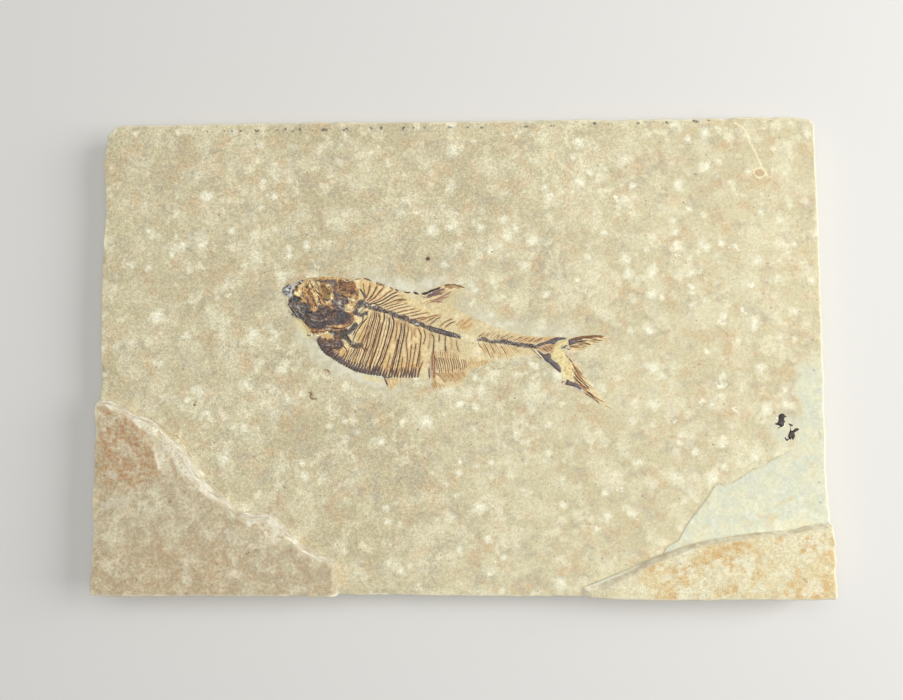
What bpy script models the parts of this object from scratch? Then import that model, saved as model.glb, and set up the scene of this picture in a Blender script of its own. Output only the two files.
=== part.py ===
"""A fossil fish slab: a split plate of laminated limestone with a pressed fish lying in its upper face.

Frame: the origin is under the middle of the slab, on the surface that it lies on. +X runs from the
fish's head to its tail, +Y from its belly to its back, and +Z is up. Shapes are drawn in millimetres
from the slab's middle and become metres in make_object. Heights in a Relief are measured from the
bed, the split face that the fish lies in.
"""
import math
import random

import bmesh
import bpy
from mathutils import Vector, noise
from mathutils.geometry import delaunay_2d_cdt

MM = 0.001

# Driving dimensions of the slab, in millimetres
HALF_LENGTH = 151.0
HALF_WIDTH = 99.2
BED = 14.0
CORNER_RISE = 4.0
SHOULDER_RISE = 3.6
LAMINA_RISE = 0.8
ARRIS = 0.5
BED_WAVE = 0.25
CALM_HALF_LENGTH = 72.0
CALM_HALF_WIDTH = 36.0
PLATEAU_WAVE = 0.45
EDGE_WOBBLE = 0.3

# Driving dimensions of the fish and of the loose dark flakes, in millimetres
POCKET_DEPTH = 0.8
GAP = 0.3
POCKET_MARGIN = 0.45
RIM = 0.1
FILM = 0.3
RIB_RISE = 0.62
RAY_RISE = 0.55
BONE_RISE = 0.85
SPINE_RISE = 1.0
FLAKE_RISE = 0.5
TOOTH_DEPTH = 0.7
TOOTH_PITCH = 1.9
RIB_COUNT = 19
NEURAL_COUNT = 17
CHEST_CENTRE = (-28.0, 18.0)

# The slab's four sides, anticlockwise from the left end of the lower side. The step points are where
# the feet and the shoulders of the two raised corners reach the edge.
LOWER_SIDE = [(-149.8, -98.4), (-140.8, -99.2), (-122.0, -98.9), (-85.5, -98.7), (-62.0, -98.7),
              (-48.8, -98.9), (-48.0, -98.7), (-25.0, -98.7), (-6.8, -98.9), (35.0, -98.8),
              (52.0, -98.7), (53.6, -98.9), (71.0, -99.2), (88.7, -99.2), (106.0, -99.0),
              (124.0, -98.6), (141.6, -98.6), (150.0, -98.5)]
RIGHT_SIDE = [(150.9, -97.4), (150.9, -92.7), (150.3, -88.4), (151.0, -83.4), (151.0, -76.0),
              (150.4, -70.6), (150.6, -68.6), (150.7, -64.0), (149.9, -55.5), (149.4, -46.0),
              (150.1, -31.4), (149.6, -21.8), (150.1, -12.0), (149.9, 0.0), (150.1, 10.0),
              (149.9, 30.0), (149.8, 60.0), (149.4, 78.0), (149.4, 92.8)]
UPPER_SIDE = [(149.4, 95.4), (147.2, 97.9), (143.3, 98.4), (131.0, 99.1), (112.0, 98.7),
              (75.0, 98.6), (62.5, 98.4), (56.0, 98.9), (18.5, 98.8), (-25.9, 98.7),
              (-51.5, 99.2), (-90.0, 98.9), (-128.8, 98.6), (-141.8, 98.7)]
LEFT_SIDE = [(-146.0, 98.1), (-149.9, 94.4), (-150.2, 91.0), (-151.0, 80.7), (-150.1, 70.0),
             (-149.5, 60.0), (-150.4, 49.6), (-150.4, 24.0), (-150.0, 2.0), (-149.4, -11.5),
             (-149.7, -18.5), (-150.1, -20.3), (-150.2, -24.0), (-149.3, -31.4), (-149.8, -41.0),
             (-149.6, -54.0), (-150.0, -60.7), (-148.8, -73.0), (-149.4, -85.0), (-149.9, -94.6)]

# The feet and shoulders of the layer left standing at the two lower corners, and the edge of a thin
# pale lamina beside the right one. Each runs from one edge of the slab to the other.
LEFT_FOOT = [(-149.7, -18.5), (-143.7, -18.8), (-138.1, -21.1), (-134.2, -24.3), (-125.1, -27.3),
             (-121.4, -32.3), (-113.7, -37.9), (-110.0, -42.2), (-106.0, -49.2), (-100.3, -55.3),
             (-92.7, -61.0), (-89.3, -64.3), (-76.0, -65.9), (-71.4, -71.1), (-61.8, -78.4),
             (-56.8, -81.2), (-48.2, -84.4), (-47.7, -91.0), (-48.0, -98.7)]
LEFT_SHOULDER = [(-150.1, -20.3), (-144.3, -21.2), (-138.8, -23.9), (-132.9, -26.4),
                 (-128.8, -29.6), (-124.5, -34.0), (-121.0, -39.6), (-113.5, -45.0),
                 (-107.7, -51.3), (-99.8, -57.3), (-92.9, -62.8), (-89.0, -65.7), (-76.2, -67.7),
                 (-71.8, -72.5), (-62.4, -79.6), (-57.3, -82.5), (-49.4, -85.7), (-48.6, -91.5),
                 (-48.8, -98.9)]
RIGHT_FOOT = [(52.0, -98.7), (51.2, -94.8), (57.0, -93.4), (64.7, -90.2), (78.9, -83.3),
              (83.3, -81.3), (95.8, -76.9), (111.1, -74.0), (121.9, -72.4), (132.6, -72.0),
              (140.2, -70.1), (150.6, -68.6)]
RIGHT_SHOULDER = [(53.6, -98.9), (53.2, -96.4), (57.4, -94.8), (65.2, -91.5), (79.2, -84.8),
                  (83.6, -82.8), (96.0, -78.5), (111.0, -75.6), (121.5, -74.1), (132.3, -73.7),
                  (139.8, -71.9), (150.4, -70.6)]
LAMINA_EDGE = [(83.3, -81.3), (84.4, -78.6), (89.6, -75.6), (92.5, -70.2), (101.2, -58.8),
               (104.5, -54.0), (111.3, -52.6), (119.0, -47.9), (130.8, -41.9), (137.0, -38.6),
               (142.4, -35.0), (143.6, -27.0), (145.0, -17.0), (150.1, -12.0)]

# The fish's outline, clockwise from the tip of the snout. Each list is one smooth run.
BACK = [(-73.1, 26.3), (-72.4, 27.9), (-69.7, 29.6), (-64.3, 31.3), (-60.9, 32.1), (-55.0, 32.4),
        (-48.7, 32.0), (-43.6, 31.3), (-38.6, 31.6), (-33.0, 30.0), (-27.3, 28.0), (-21.0, 26.0),
        (-15.4, 25.5)]
DORSAL_FIN = [(-14.3, 26.0), (-10.6, 27.3), (-6.4, 28.5), (-3.1, 29.2), (0.7, 28.6), (4.0, 27.1),
              (2.2, 24.6), (-0.4, 21.6), (0.2, 18.7)]
REAR_BACK = [(4.0, 16.6), (8.1, 14.9), (13.1, 13.1), (18.0, 11.2), (24.2, 8.9), (30.4, 7.7),
             (36.6, 7.3), (45.2, 7.0)]
UPPER_LOBE = [(48.9, 6.9), (52.2, 7.4), (56.5, 7.7), (60.4, 7.6), (63.6, 6.8), (60.7, 5.2),
              (56.6, 3.4), (52.6, 1.2), (49.4, -1.4)]
LOWER_LOBE = [(50.2, -4.6), (52.0, -7.7), (54.4, -11.0), (56.8, -14.2), (59.2, -17.2),
              (61.4, -19.8), (63.8, -22.9), (60.2, -22.0), (56.5, -20.0), (52.9, -17.8),
              (49.7, -15.3), (46.4, -13.8), (43.2, -12.6), (43.0, -9.6)]
TAIL_STALK = [(41.6, -8.6), (38.8, -6.7), (36.2, -4.4), (33.8, -2.2), (31.0, -0.8)]
ANAL_FIN = [(28.0, -1.0), (24.0, -2.2), (19.0, -3.3), (13.5, -4.2), (9.7, -5.4), (6.2, -7.6),
            (4.2, -10.9), (2.6, -14.0), (-0.8, -15.5), (-5.2, -15.6), (-9.5, -15.0),
            (-10.9, -12.0), (-11.8, -8.0), (-12.2, -6.2), (-13.8, -6.2)]
BELLY = [(-15.2, -9.8), (-19.2, -10.1), (-26.7, -9.7), (-31.3, -9.2), (-35.0, -8.8),
         (-39.2, -7.9), (-42.1, -7.1), (-45.5, -5.4), (-48.4, -3.8), (-50.9, -2.1),
         (-53.8, -0.4), (-55.7, 1.4), (-57.0, 3.2), (-58.0, 5.2)]
PELVIC_FIN = [(-21.4, -10.1), (-22.4, -11.9), (-24.6, -13.6), (-26.7, -15.8), (-28.4, -13.8),
              (-29.6, -11.6), (-30.9, -9.3)]
THROAT = [(-60.2, 6.4), (-62.3, 7.9), (-62.4, 9.6), (-63.6, 11.5), (-65.6, 13.8), (-68.7, 16.1),
          (-70.2, 18.0), (-71.1, 20.6), (-71.6, 22.9), (-72.4, 24.6)]

# Curves of the skeleton
COLUMN = [(-39.0, 21.0), (-33.1, 18.9), (-25.6, 16.4), (-18.1, 13.2), (-10.6, 10.3), (-2.7, 8.1),
          (5.0, 6.2), (13.0, 5.4), (18.0, 5.0), (27.1, 3.5), (33.0, 2.6)]
RIB_ROOTS = [(-36.2, 18.4), (-29.3, 15.6), (-22.0, 12.6), (-15.1, 10.2)]
RIB_TIPS = [(-46.8, -3.3), (-44.0, -4.8), (-39.0, -6.7), (-32.3, -7.9), (-23.4, -8.7),
            (-15.9, -8.3)]
NEURAL_ROOTS = [(-37.9, 23.2), (-35.0, 21.7), (-26.8, 18.4), (-15.1, 13.6), (-4.8, 10.4)]
NEURAL_TIPS = [(-38.4, 29.8), (-33.1, 28.8), (-27.3, 26.4), (-22.7, 23.7), (-18.5, 20.2),
               (-11.8, 17.1), (-2.0, 14.6)]
REAR_SPINES_UPPER = [(8.5, 6.9), (30.0, 4.6)], [(11.8, 9.2), (33.4, 6.2)]
REAR_SPINES_LOWER = [(9.5, 4.2), (29.0, 1.9)], [(12.6, 1.0), (30.4, 0.2)]
HAEMAL_SPINES = [(-12.8, 9.0), (0.4, 5.4)], [(-12.9, 2.6), (1.2, 0.6)]
DORSAL_RAYS = [(-13.5, 24.6), (-9.3, 20.9)], [(-5.6, 27.6), (-1.8, 23.0)]
ANAL_BASES = [(-9.7, -0.2), (-4.8, -1.6), (1.4, -2.6), (10.0, -2.9)]
ANAL_TIPS = [(-9.9, -13.4), (-5.6, -14.0), (-0.8, -11.8), (4.4, -7.2), (12.4, -3.6)]
PELVIC_RAYS = [(-30.0, -8.6), (-25.6, -9.4)], [(-27.6, -13.0), (-24.4, -12.4)]
UPPER_LOBE_RAYS = [(46.2, 5.8), (45.4, 3.2)], [(61.6, 6.7), (55.6, 3.8)]
LOWER_LOBE_RAYS = [(46.0, -1.0), (45.6, -10.8)], [(55.6, -13.9), (62.0, -21.8)]
UPPER_URAL = [(33.0, 3.2), (37.8, 4.8), (41.1, 5.7), (45.4, 6.1)]
LOWER_URAL = [(33.0, 2.0), (36.4, -1.4), (39.3, -4.0), (42.2, -6.9)]

# Bones of the head
ORBIT_CENTRE = (-55.4, 27.2)
ORBIT_RADIUS = 2.9
SNOUT = [(-69.6, 24.0), (-68.4, 26.2), (-66.8, 28.2), (-64.5, 30.0)]
UPPER_JAW = [(-63.4, 29.6), (-63.2, 26.6), (-61.6, 23.4), (-59.3, 20.8), (-57.0, 18.6)]
CHEEK = [(-60.6, 28.8), (-59.2, 25.6), (-57.6, 22.8), (-54.6, 20.4)]
LOWER_JAW = [(-70.0, 21.6), (-67.4, 19.2), (-63.7, 16.6), (-59.5, 14.6)]
GULAR = [(-64.2, 13.6), (-60.6, 11.2), (-54.8, 10.8), (-50.4, 10.4)]
SKULL_ROOF = [(-60.4, 31.2), (-55.0, 31.3), (-49.4, 30.8), (-45.0, 29.6)]
CLEITHRUM = [(-38.6, 17.6), (-40.2, 13.6), (-42.6, 10.4), (-46.4, 8.8), (-51.6, 8.9), (-58.6, 8.9)]
LOWER_CLEITHRUM = [(-46.2, 7.2), (-45.2, 5.2), (-43.0, 3.4), (-40.2, 3.2)]
NAPE_ROD = [(-40.3, 27.1), (-38.9, 24.6), (-38.7, 22.6)]
OPERCLE = [(-50.8, 17.4), (-46.4, 18.6), (-43.2, 17.6), (-42.6, 14.6), (-44.6, 12.4), (-48.4, 11.9),
           (-51.6, 13.2)]
NAPE_PLATE = [(-50.0, 29.4), (-45.4, 28.4), (-42.4, 26.4), (-43.0, 24.0), (-47.0, 23.2), (-50.4, 25.8)]
PECTORAL_PLATE = [(-56.8, 5.4), (-52.6, 6.6), (-48.4, 5.4), (-47.4, 3.0), (-50.6, 1.2), (-54.6, 2.0)]

# Two loose dark flakes near the right edge, clockwise
UPPER_FLAKE = [(130.7, -24.5), (132.7, -24.2), (134.3, -25.8), (134.2, -27.6), (133.4, -29.0),
               (132.5, -30.5), (130.1, -30.3), (129.3, -28.8), (130.4, -27.2)]
LOWER_FLAKE = [(134.6, -31.8), (135.8, -32.2), (137.2, -31.2), (139.2, -31.0), (138.8, -32.8),
               (137.0, -33.6), (136.6, -35.4), (134.8, -36.4), (133.0, -36.2), (134.2, -34.4)]


def smooth_curve(points, spacing):
    """Points about `spacing` apart along a Catmull-Rom curve through the given ones."""
    ends = [points[0]] + list(points) + [points[-1]]
    curve = []
    for a, b, c, d in zip(ends, ends[1:], ends[2:], ends[3:]):
        pieces = max(1, round(math.dist(b, c) / spacing))
        for step in range(pieces):
            t = step / pieces
            curve.append(tuple(0.5 * (2 * q + (r - p) * t + (2 * p - 5 * q + 4 * r - s) * t * t
                                      + (3 * q - p - 3 * r + s) * t ** 3)
                               for p, q, r, s in zip(a, b, c, d)))
    curve.append(tuple(points[-1]))
    return curve


def along(points, fraction):
    """The point at a fraction of the length of a smooth curve through the given points."""
    curve = smooth_curve(points, 0.5)
    lengths = [math.dist(a, b) for a, b in zip(curve, curve[1:])]
    target = fraction * sum(lengths)
    for a, b, length in zip(curve, curve[1:], lengths):
        if target <= length:
            t = target / length
            return tuple(p + (q - p) * t for p, q in zip(a, b))
        target -= length
    return curve[-1]


def inside(x, y, polygon):
    """True where the point lies in the polygon."""
    found = False
    for (ax, ay), (bx, by) in zip(polygon, polygon[1:] + polygon[:1]):
        if (ay > y) != (by > y) and x < (bx - ax) * (y - ay) / (by - ay) + ax:
            found = not found
    return found


def grown(polygon, margin):
    """A clockwise polygon with each of its corners moved outwards by the margin."""
    result = []
    for before, here, after in zip(polygon[-1:] + polygon[:-1], polygon, polygon[1:] + polygon[:1]):
        arriving = Vector(here) - Vector(before)
        leaving = Vector(after) - Vector(here)
        tangent = (arriving.normalized() + leaving.normalized()).normalized()
        normal = Vector((-tangent.y, tangent.x))
        miter = max(0.6, abs(arriving.normalized().dot(tangent)))
        result.append(tuple(Vector(here) + normal * margin / miter))
    return result


class Relief:
    """A height map drawn with points and lines, and meshed by a constrained triangulation."""

    def __init__(self, merge):
        self.merge = merge
        self.points = []
        self.heights = []
        self.edges = []

    def point(self, x, y, height):
        """Adds a point, or reuses one closer than the merge distance, and returns its index."""
        for index, (px, py) in enumerate(self.points):
            if abs(px - x) < self.merge and abs(py - y) < self.merge:
                return index
        self.points.append((x, y))
        self.heights.append(height)
        return len(self.points) - 1

    def line(self, points, heights, closed=False):
        """Adds a line of points, with one height or a list of them, that the mesh keeps as edges."""
        if not isinstance(heights, list):
            heights = [heights] * len(points)
        ids = [self.point(x, y, height) for (x, y), height in zip(points, heights)]
        if closed:
            ids.append(ids[0])
        self.edges += [(a, b) for a, b in zip(ids, ids[1:]) if a != b]

    def scatter(self, box, spacing, clearance, height_at, rng):
        """Fills the box with points that keep clear of the drawn ones."""
        (low_x, low_y), (high_x, high_y) = box
        drawn = list(self.points)
        for row in range(int((high_y - low_y) / spacing) + 1):
            for column in range(int((high_x - low_x) / spacing) + 1):
                x = low_x + (column + 0.5 * (row % 2) + rng.uniform(-0.2, 0.2)) * spacing
                y = low_y + (row + rng.uniform(-0.2, 0.2)) * spacing
                if all(math.hypot(x - px, y - py) > clearance for px, py in drawn):
                    self.point(x, y, height_at(x, y))

    def mesh(self, outline, holes=()):
        """The relief's surface inside the outline and outside the holes, as a bmesh."""
        points, _, triangles, sources, _, _ = delaunay_2d_cdt(
            [Vector(p) for p in self.points], self.edges, [], 0, 1e-5, True)
        heights = [self.heights[ids[0]] if ids else None for ids in sources]
        beside = [[] for _ in points]
        for triangle in triangles:
            for vertex in triangle:
                beside[vertex] += [heights[other] for other in triangle if heights[other] is not None]
        surface = bmesh.new()
        corners = []
        for point, height, others in zip(points, heights, beside):
            level = height if height is not None else sum(others) / max(1, len(others))
            corners.append(surface.verts.new((point.x, point.y, BED + level)))
        for triangle in triangles:
            x = sum(points[vertex].x for vertex in triangle) / 3
            y = sum(points[vertex].y for vertex in triangle) / 3
            if inside(x, y, outline) and not any(inside(x, y, hole) for hole in holes):
                surface.faces.new([corners[vertex] for vertex in triangle])
        bmesh.ops.delete(surface, geom=[v for v in surface.verts if not v.link_faces], context="VERTS")
        return surface


def open_rings(mesh):
    """The open borders of a mesh, each as a ring of vertices, the outermost first."""
    waiting = [edge for edge in mesh.edges if len(edge.link_faces) == 1]
    rings = []
    while waiting:
        ring = list(waiting.pop(0).verts)
        while ring[-1] != ring[0]:
            edge = next(edge for edge in waiting if ring[-1] in edge.verts)
            waiting.remove(edge)
            ring.append(edge.other_vert(ring[-1]))
        rings.append(ring[:-1])
    return sorted(rings, key=lambda ring: -max(vertex.co.x for vertex in ring))


def wall(mesh, ring, place):
    """Adds a wall from a ring to a copy of it, moved with place(co), and returns the copy."""
    copy = [mesh.verts.new(place(vertex.co)) for vertex in ring]
    for index in range(len(ring)):
        after = (index + 1) % len(ring)
        mesh.faces.new((ring[index], ring[after], copy[after], copy[index]))
    return copy


def cap(mesh, ring):
    """Closes a flat ring with triangles."""
    outline = [(vertex.co.x, vertex.co.y) for vertex in ring]
    sides = [(index, (index + 1) % len(ring)) for index in range(len(ring))]
    places, _, triangles, sources, _, _ = delaunay_2d_cdt(
        [Vector(point) for point in outline], sides, [], 0, 1e-6, True)
    for triangle in triangles:
        centre = sum((places[vertex] for vertex in triangle), Vector((0.0, 0.0))) / 3
        if inside(centre.x, centre.y, outline):
            mesh.faces.new([ring[sources[vertex][0]] for vertex in triangle])


def make_object(name, mesh, colour, roughness):
    """Turns a bmesh in millimetres into a named object in metres with its own material."""
    bmesh.ops.recalc_face_normals(mesh, faces=mesh.faces)
    bmesh.ops.triangulate(mesh, faces=mesh.faces)
    bmesh.ops.scale(mesh, vec=(MM, MM, MM), verts=mesh.verts)
    data = bpy.data.meshes.new(name)
    mesh.to_mesh(data)
    mesh.free()
    material = bpy.data.materials.new(name)
    material.use_nodes = True
    shader = material.node_tree.nodes["Principled BSDF"]
    shader.inputs["Base Color"].default_value = (*colour, 1.0)
    shader.inputs["Roughness"].default_value = roughness
    shader.inputs["Metallic"].default_value = 0.0
    data.materials.append(material)
    part = bpy.data.objects.new(name, data)
    bpy.context.scene.collection.objects.link(part)
    return part


def slab_outline():
    """The slab's outline, with points between the drawn ones nudged inwards at random."""
    rng = random.Random(4)
    drawn = LOWER_SIDE + RIGHT_SIDE + UPPER_SIDE + LEFT_SIDE
    outline = []
    for here, after in zip(drawn, drawn[1:] + drawn[:1]):
        outline.append(here)
        pieces = max(1, round(math.dist(here, after) / 7.0))
        for step in range(1, pieces):
            x, y = (a + (b - a) * step / pieces for a, b in zip(here, after))
            shrink = rng.uniform(0.0, EDGE_WOBBLE)
            outline.append((x * (1 - shrink / HALF_LENGTH), y * (1 - shrink / HALF_WIDTH)))
    return outline


def stretch(outline, first, last):
    """The part of the outline, anticlockwise, between two of its points."""
    start = outline.index(first)
    turned = outline[start:] + outline[:start]
    return turned[:turned.index(last) + 1]


def fish_border():
    """The fish's smooth outline without its belly teeth, clockwise."""
    runs = [BACK, DORSAL_FIN, REAR_BACK, UPPER_LOBE, LOWER_LOBE, TAIL_STALK, ANAL_FIN]
    border = [point for run in runs for point in smooth_curve(run, 2.2)]
    belly = smooth_curve(BELLY, TOOTH_PITCH)
    border += [p for p in belly if p[0] > PELVIC_FIN[0][0] + TOOTH_PITCH / 2]
    border += smooth_curve(PELVIC_FIN, 1.8)
    border += [p for p in belly if p[0] < PELVIC_FIN[-1][0] - TOOTH_PITCH / 2]
    return border + smooth_curve(THROAT, 2.0)


def stone_slab(pockets):
    """The slab, with its raised lower corners, its pale lamina and a pocket for each piece in it."""
    rng = random.Random(11)
    outline = slab_outline()
    left_corner, right_corner = (
        shoulder[::-1] + stretch(outline, shoulder[0], shoulder[-1])
        for shoulder in (LEFT_SHOULDER, RIGHT_SHOULDER))
    lamina = LAMINA_EDGE + [(HALF_LENGTH, LAMINA_EDGE[-1][1]), (HALF_LENGTH, RIGHT_FOOT[-1][1])]
    lamina += RIGHT_FOOT[:RIGHT_FOOT.index(LAMINA_EDGE[0]):-1]

    def ground(x, y):
        ripple = noise.noise(Vector((x, y, 0.0)) * 0.05)
        if inside(x, y, left_corner) or inside(x, y, right_corner):
            return CORNER_RISE + PLATEAU_WAVE * ripple
        level = LAMINA_RISE if inside(x, y, lamina) else 0.0
        fade = min(1.0, max(0.0, abs(y) / CALM_HALF_WIDTH - 1.0) + max(0.0, abs(x) / CALM_HALF_LENGTH - 1.0))
        return level + BED_WAVE * ripple * fade

    relief = Relief(merge=0.2)
    corner_points = set(left_corner + right_corner)
    rises = [SHOULDER_RISE if point in corner_points else ground(*point) for point in outline]
    relief.line(outline, rises, closed=True)
    for foot in (LEFT_FOOT, RIGHT_FOOT):
        relief.line(foot, [ground(x, y + 0.5) for x, y in foot])
    for shoulder in (LEFT_SHOULDER, RIGHT_SHOULDER):
        relief.line(shoulder, SHOULDER_RISE)
    relief.line(LAMINA_EDGE[1:-1], 0.0)
    lip = [(x + 0.6, y - 0.4) for x, y in LAMINA_EDGE[1:-1]]
    relief.line(lip, LAMINA_RISE)
    for pocket in pockets:
        relief.line(pocket, 0.0, closed=True)
    half = (HALF_LENGTH - 5.0, HALF_WIDTH - 5.0)
    relief.scatter(((-half[0], -half[1]), half), 11.0, 3.2, ground, rng)
    slab = relief.mesh(outline, pockets)

    # The sides are laminae: each level is how far it sets back from the outline, how much that
    # varies, and its height over the underside. The arris above them follows the top face.
    border, *wells = open_rings(slab)
    levels = [(0.0, 0.3, 12.2), (0.6, 0.5, 11.8), (0.7, 0.5, 8.4), (0.1, 0.4, 8.0),
              (0.3, 0.5, 4.2), (0.9, 0.6, 3.8), (0.7, 0.5, 1.0), (1.6, 0.4, 0.0)]

    def set_back(co, inset, varies, height):
        inset += varies * abs(noise.noise(Vector((co.x * 0.04, co.y * 0.04, height * 3.0))))
        return Vector((co.x * (1 - inset / HALF_LENGTH), co.y * (1 - inset / HALF_WIDTH), height))

    widest = wall(slab, border, lambda co: Vector((co.x, co.y, co.z - ARRIS)))
    for vertex in border:
        vertex.co = set_back(vertex.co, ARRIS, 0.0, vertex.co.z)
    ring = widest
    for inset, varies, height in levels:
        places = iter([set_back(vertex.co, inset, varies, height) for vertex in widest])
        ring = wall(slab, ring, lambda co: next(places))
    cap(slab, ring)
    for well in wells:
        cap(slab, wall(slab, well, lambda co: Vector((co.x, co.y, BED - POCKET_DEPTH))))
    return make_object("stone_slab", slab, (0.66, 0.58, 0.43), 0.85)


def fan(relief, roots, tips, count, rise, bow=0.0):
    """Ridges from one curve to another, with a valley line between each two of them."""
    for index in range(2 * count - 1):
        fraction = index / (2 * count - 2)
        root = along(roots, fraction)
        tip = along(tips, fraction)
        middle = ((root[0] + tip[0]) / 2 + bow, (root[1] + tip[1]) / 2)
        pieces = max(2, round(math.dist(root, tip) / 3.6))
        points = smooth_curve([root, middle, tip], math.dist(root, tip) / pieces)
        crest = rise if index % 2 == 0 else FILM
        relief.line(points, [crest] * (len(points) - 1) + [0.7 * crest])


def ridge(relief, points, width, rise, spacing=2.4, beads=0.0):
    """One raised bone along a curve, its crest between two lines at the level of the film."""
    curve = smooth_curve(points, spacing)
    sides = []
    for index, here in enumerate(curve):
        before = curve[max(0, index - 1)]
        after = curve[min(len(curve) - 1, index + 1)]
        tangent = (Vector(after) - Vector(before)).normalized()
        sides.append(Vector((-tangent.y, tangent.x)) * width / 2)
    relief.line(curve, [rise - beads * (index % 2) for index in range(len(curve))])
    for sign in (1, -1):
        relief.line([tuple(Vector(p) + side * sign) for p, side in zip(curve, sides)], FILM)


def plate(relief, points, rise, bevel=0.6):
    """One flat raised bone with bevelled sides."""
    outer = smooth_curve(points + points[:1], 2.4)[:-1]
    relief.line(outer, FILM, closed=True)
    inner = grown(outer, -bevel)
    relief.line(inner, rise, closed=True)
    middle = [sum(values) / len(inner) for values in zip(*inner)]
    relief.point(*middle, rise)


def toothed(border):
    """The fish's outline with a sharp scute at each step of its belly, clear of the pelvic fin."""
    rear, front = BELLY[0][0], BELLY[-1][0]
    fin_rear, fin_front = PELVIC_FIN[0][0] + 1.0, PELVIC_FIN[-1][0] - 1.0
    result = []
    for here, after in zip(border, border[1:] + border[:1]):
        result.append(here)
        middle = Vector(here).lerp(Vector(after), 0.35)
        on_fin = fin_front < middle.x < fin_rear
        if front < middle.x < rear and middle.y < 4.0 and not on_fin:
            result.append(tuple(middle + (Vector(CHEST_CENTRE) - middle).normalized() * TOOTH_DEPTH))
    return result


def fossil_fish(border):
    """The pressed fish: one thin body with its bones, ribs and fin rays standing out of it."""
    rng = random.Random(7)
    relief = Relief(merge=0.28)
    outline = toothed(border)
    relief.line(outline, RIM, closed=True)

    ridge(relief, COLUMN, 2.0, SPINE_RISE, spacing=1.3, beads=0.25)
    ridge(relief, UPPER_URAL, 1.4, BONE_RISE)
    ridge(relief, LOWER_URAL, 2.2, BONE_RISE)
    fan(relief, RIB_ROOTS, RIB_TIPS, RIB_COUNT, RIB_RISE, bow=1.0)
    fan(relief, NEURAL_ROOTS, NEURAL_TIPS, NEURAL_COUNT, RIB_RISE, bow=0.6)
    fan(relief, *REAR_SPINES_UPPER, 10, RAY_RISE)
    fan(relief, *REAR_SPINES_LOWER, 9, RAY_RISE)
    fan(relief, *HAEMAL_SPINES, 6, RAY_RISE)
    fan(relief, *DORSAL_RAYS, 5, RAY_RISE)
    fan(relief, ANAL_BASES, ANAL_TIPS, 15, RAY_RISE)
    fan(relief, *PELVIC_RAYS, 3, RAY_RISE)
    fan(relief, *UPPER_LOBE_RAYS, 3, RAY_RISE)
    fan(relief, *LOWER_LOBE_RAYS, 5, RAY_RISE, bow=-1.2)

    for radius, rise in ((ORBIT_RADIUS, FILM), (0.78 * ORBIT_RADIUS, BONE_RISE),
                         (0.5 * ORBIT_RADIUS, FILM)):
        turns = [2 * math.pi * step / 12 for step in range(12)]
        relief.line([(ORBIT_CENTRE[0] + radius * math.cos(turn), ORBIT_CENTRE[1] + radius * math.sin(turn))
                     for turn in turns], rise, closed=True)
    for bone, width in ((SNOUT, 1.2), (UPPER_JAW, 1.4), (CHEEK, 1.2), (LOWER_JAW, 2.0), (GULAR, 1.4),
                        (SKULL_ROOF, 0.9), (CLEITHRUM, 1.7), (LOWER_CLEITHRUM, 1.8), (NAPE_ROD, 0.9)):
        ridge(relief, bone, width, BONE_RISE)
    for bone in (OPERCLE, NAPE_PLATE, PECTORAL_PLATE):
        plate(relief, bone, BONE_RISE)

    relief.scatter(((-73.0, -23.0), (64.0, 33.0)), 3.0, 1.1, lambda x, y: FILM, rng)
    fish = relief.mesh(outline)
    underside = BED - POCKET_DEPTH + GAP
    cap(fish, wall(fish, open_rings(fish)[0], lambda co: Vector((co.x, co.y, underside))))
    return make_object("fossil_fish", fish, (0.16, 0.11, 0.08), 0.6)


def dark_flake(name, border):
    """One loose scrap of dark bone, pressed flat, with a low rounded top."""
    relief = Relief(merge=0.1)
    relief.line(border, RIM, closed=True)
    relief.line(grown(border, -0.5), FLAKE_RISE, closed=True)
    flake = relief.mesh(border)
    underside = BED - POCKET_DEPTH + GAP
    cap(flake, wall(flake, open_rings(flake)[0], lambda co: Vector((co.x, co.y, underside))))
    return make_object(name, flake, (0.03, 0.03, 0.035), 0.45)


def main():
    for thing in list(bpy.data.objects):
        bpy.data.objects.remove(thing)
    border = fish_border()
    pockets = [grown(piece, POCKET_MARGIN) for piece in (border, UPPER_FLAKE, LOWER_FLAKE)]
    stone_slab(pockets)
    fossil_fish(border)
    dark_flake("upper_dark_flake", UPPER_FLAKE)
    dark_flake("lower_dark_flake", LOWER_FLAKE)


main()
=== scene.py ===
"""Looks of a fossil fish slab: split limestone with a pressed fish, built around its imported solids.

Places are millimetres in the slab's own frame, as in the solids: the origin is under the middle of the
slab, +X runs from the fish's head to its tail, +Y from its belly to its back and +Z is up. Lines and
outlines lie on the bed, the split face that carries the fish. Meshes are scaled to metres as they
are made.
"""
import math

import bpy
import numpy as np
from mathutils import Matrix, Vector
from mathutils.bvhtree import BVHTree
from mathutils.geometry import delaunay_2d_cdt


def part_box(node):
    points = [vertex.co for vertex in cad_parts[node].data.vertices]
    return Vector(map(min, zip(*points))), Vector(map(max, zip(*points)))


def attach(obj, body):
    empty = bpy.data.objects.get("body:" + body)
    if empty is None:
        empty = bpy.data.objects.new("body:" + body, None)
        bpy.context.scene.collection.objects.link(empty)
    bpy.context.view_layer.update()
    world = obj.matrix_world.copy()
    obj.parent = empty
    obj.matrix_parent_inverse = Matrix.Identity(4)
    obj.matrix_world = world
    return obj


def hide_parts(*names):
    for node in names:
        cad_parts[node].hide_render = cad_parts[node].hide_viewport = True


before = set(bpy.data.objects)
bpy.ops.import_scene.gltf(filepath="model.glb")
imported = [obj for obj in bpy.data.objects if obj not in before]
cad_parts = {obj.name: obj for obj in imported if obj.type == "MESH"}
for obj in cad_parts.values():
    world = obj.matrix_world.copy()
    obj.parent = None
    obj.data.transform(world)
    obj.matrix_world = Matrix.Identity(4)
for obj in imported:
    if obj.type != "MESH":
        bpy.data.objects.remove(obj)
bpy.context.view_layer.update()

MM = 0.001
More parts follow.
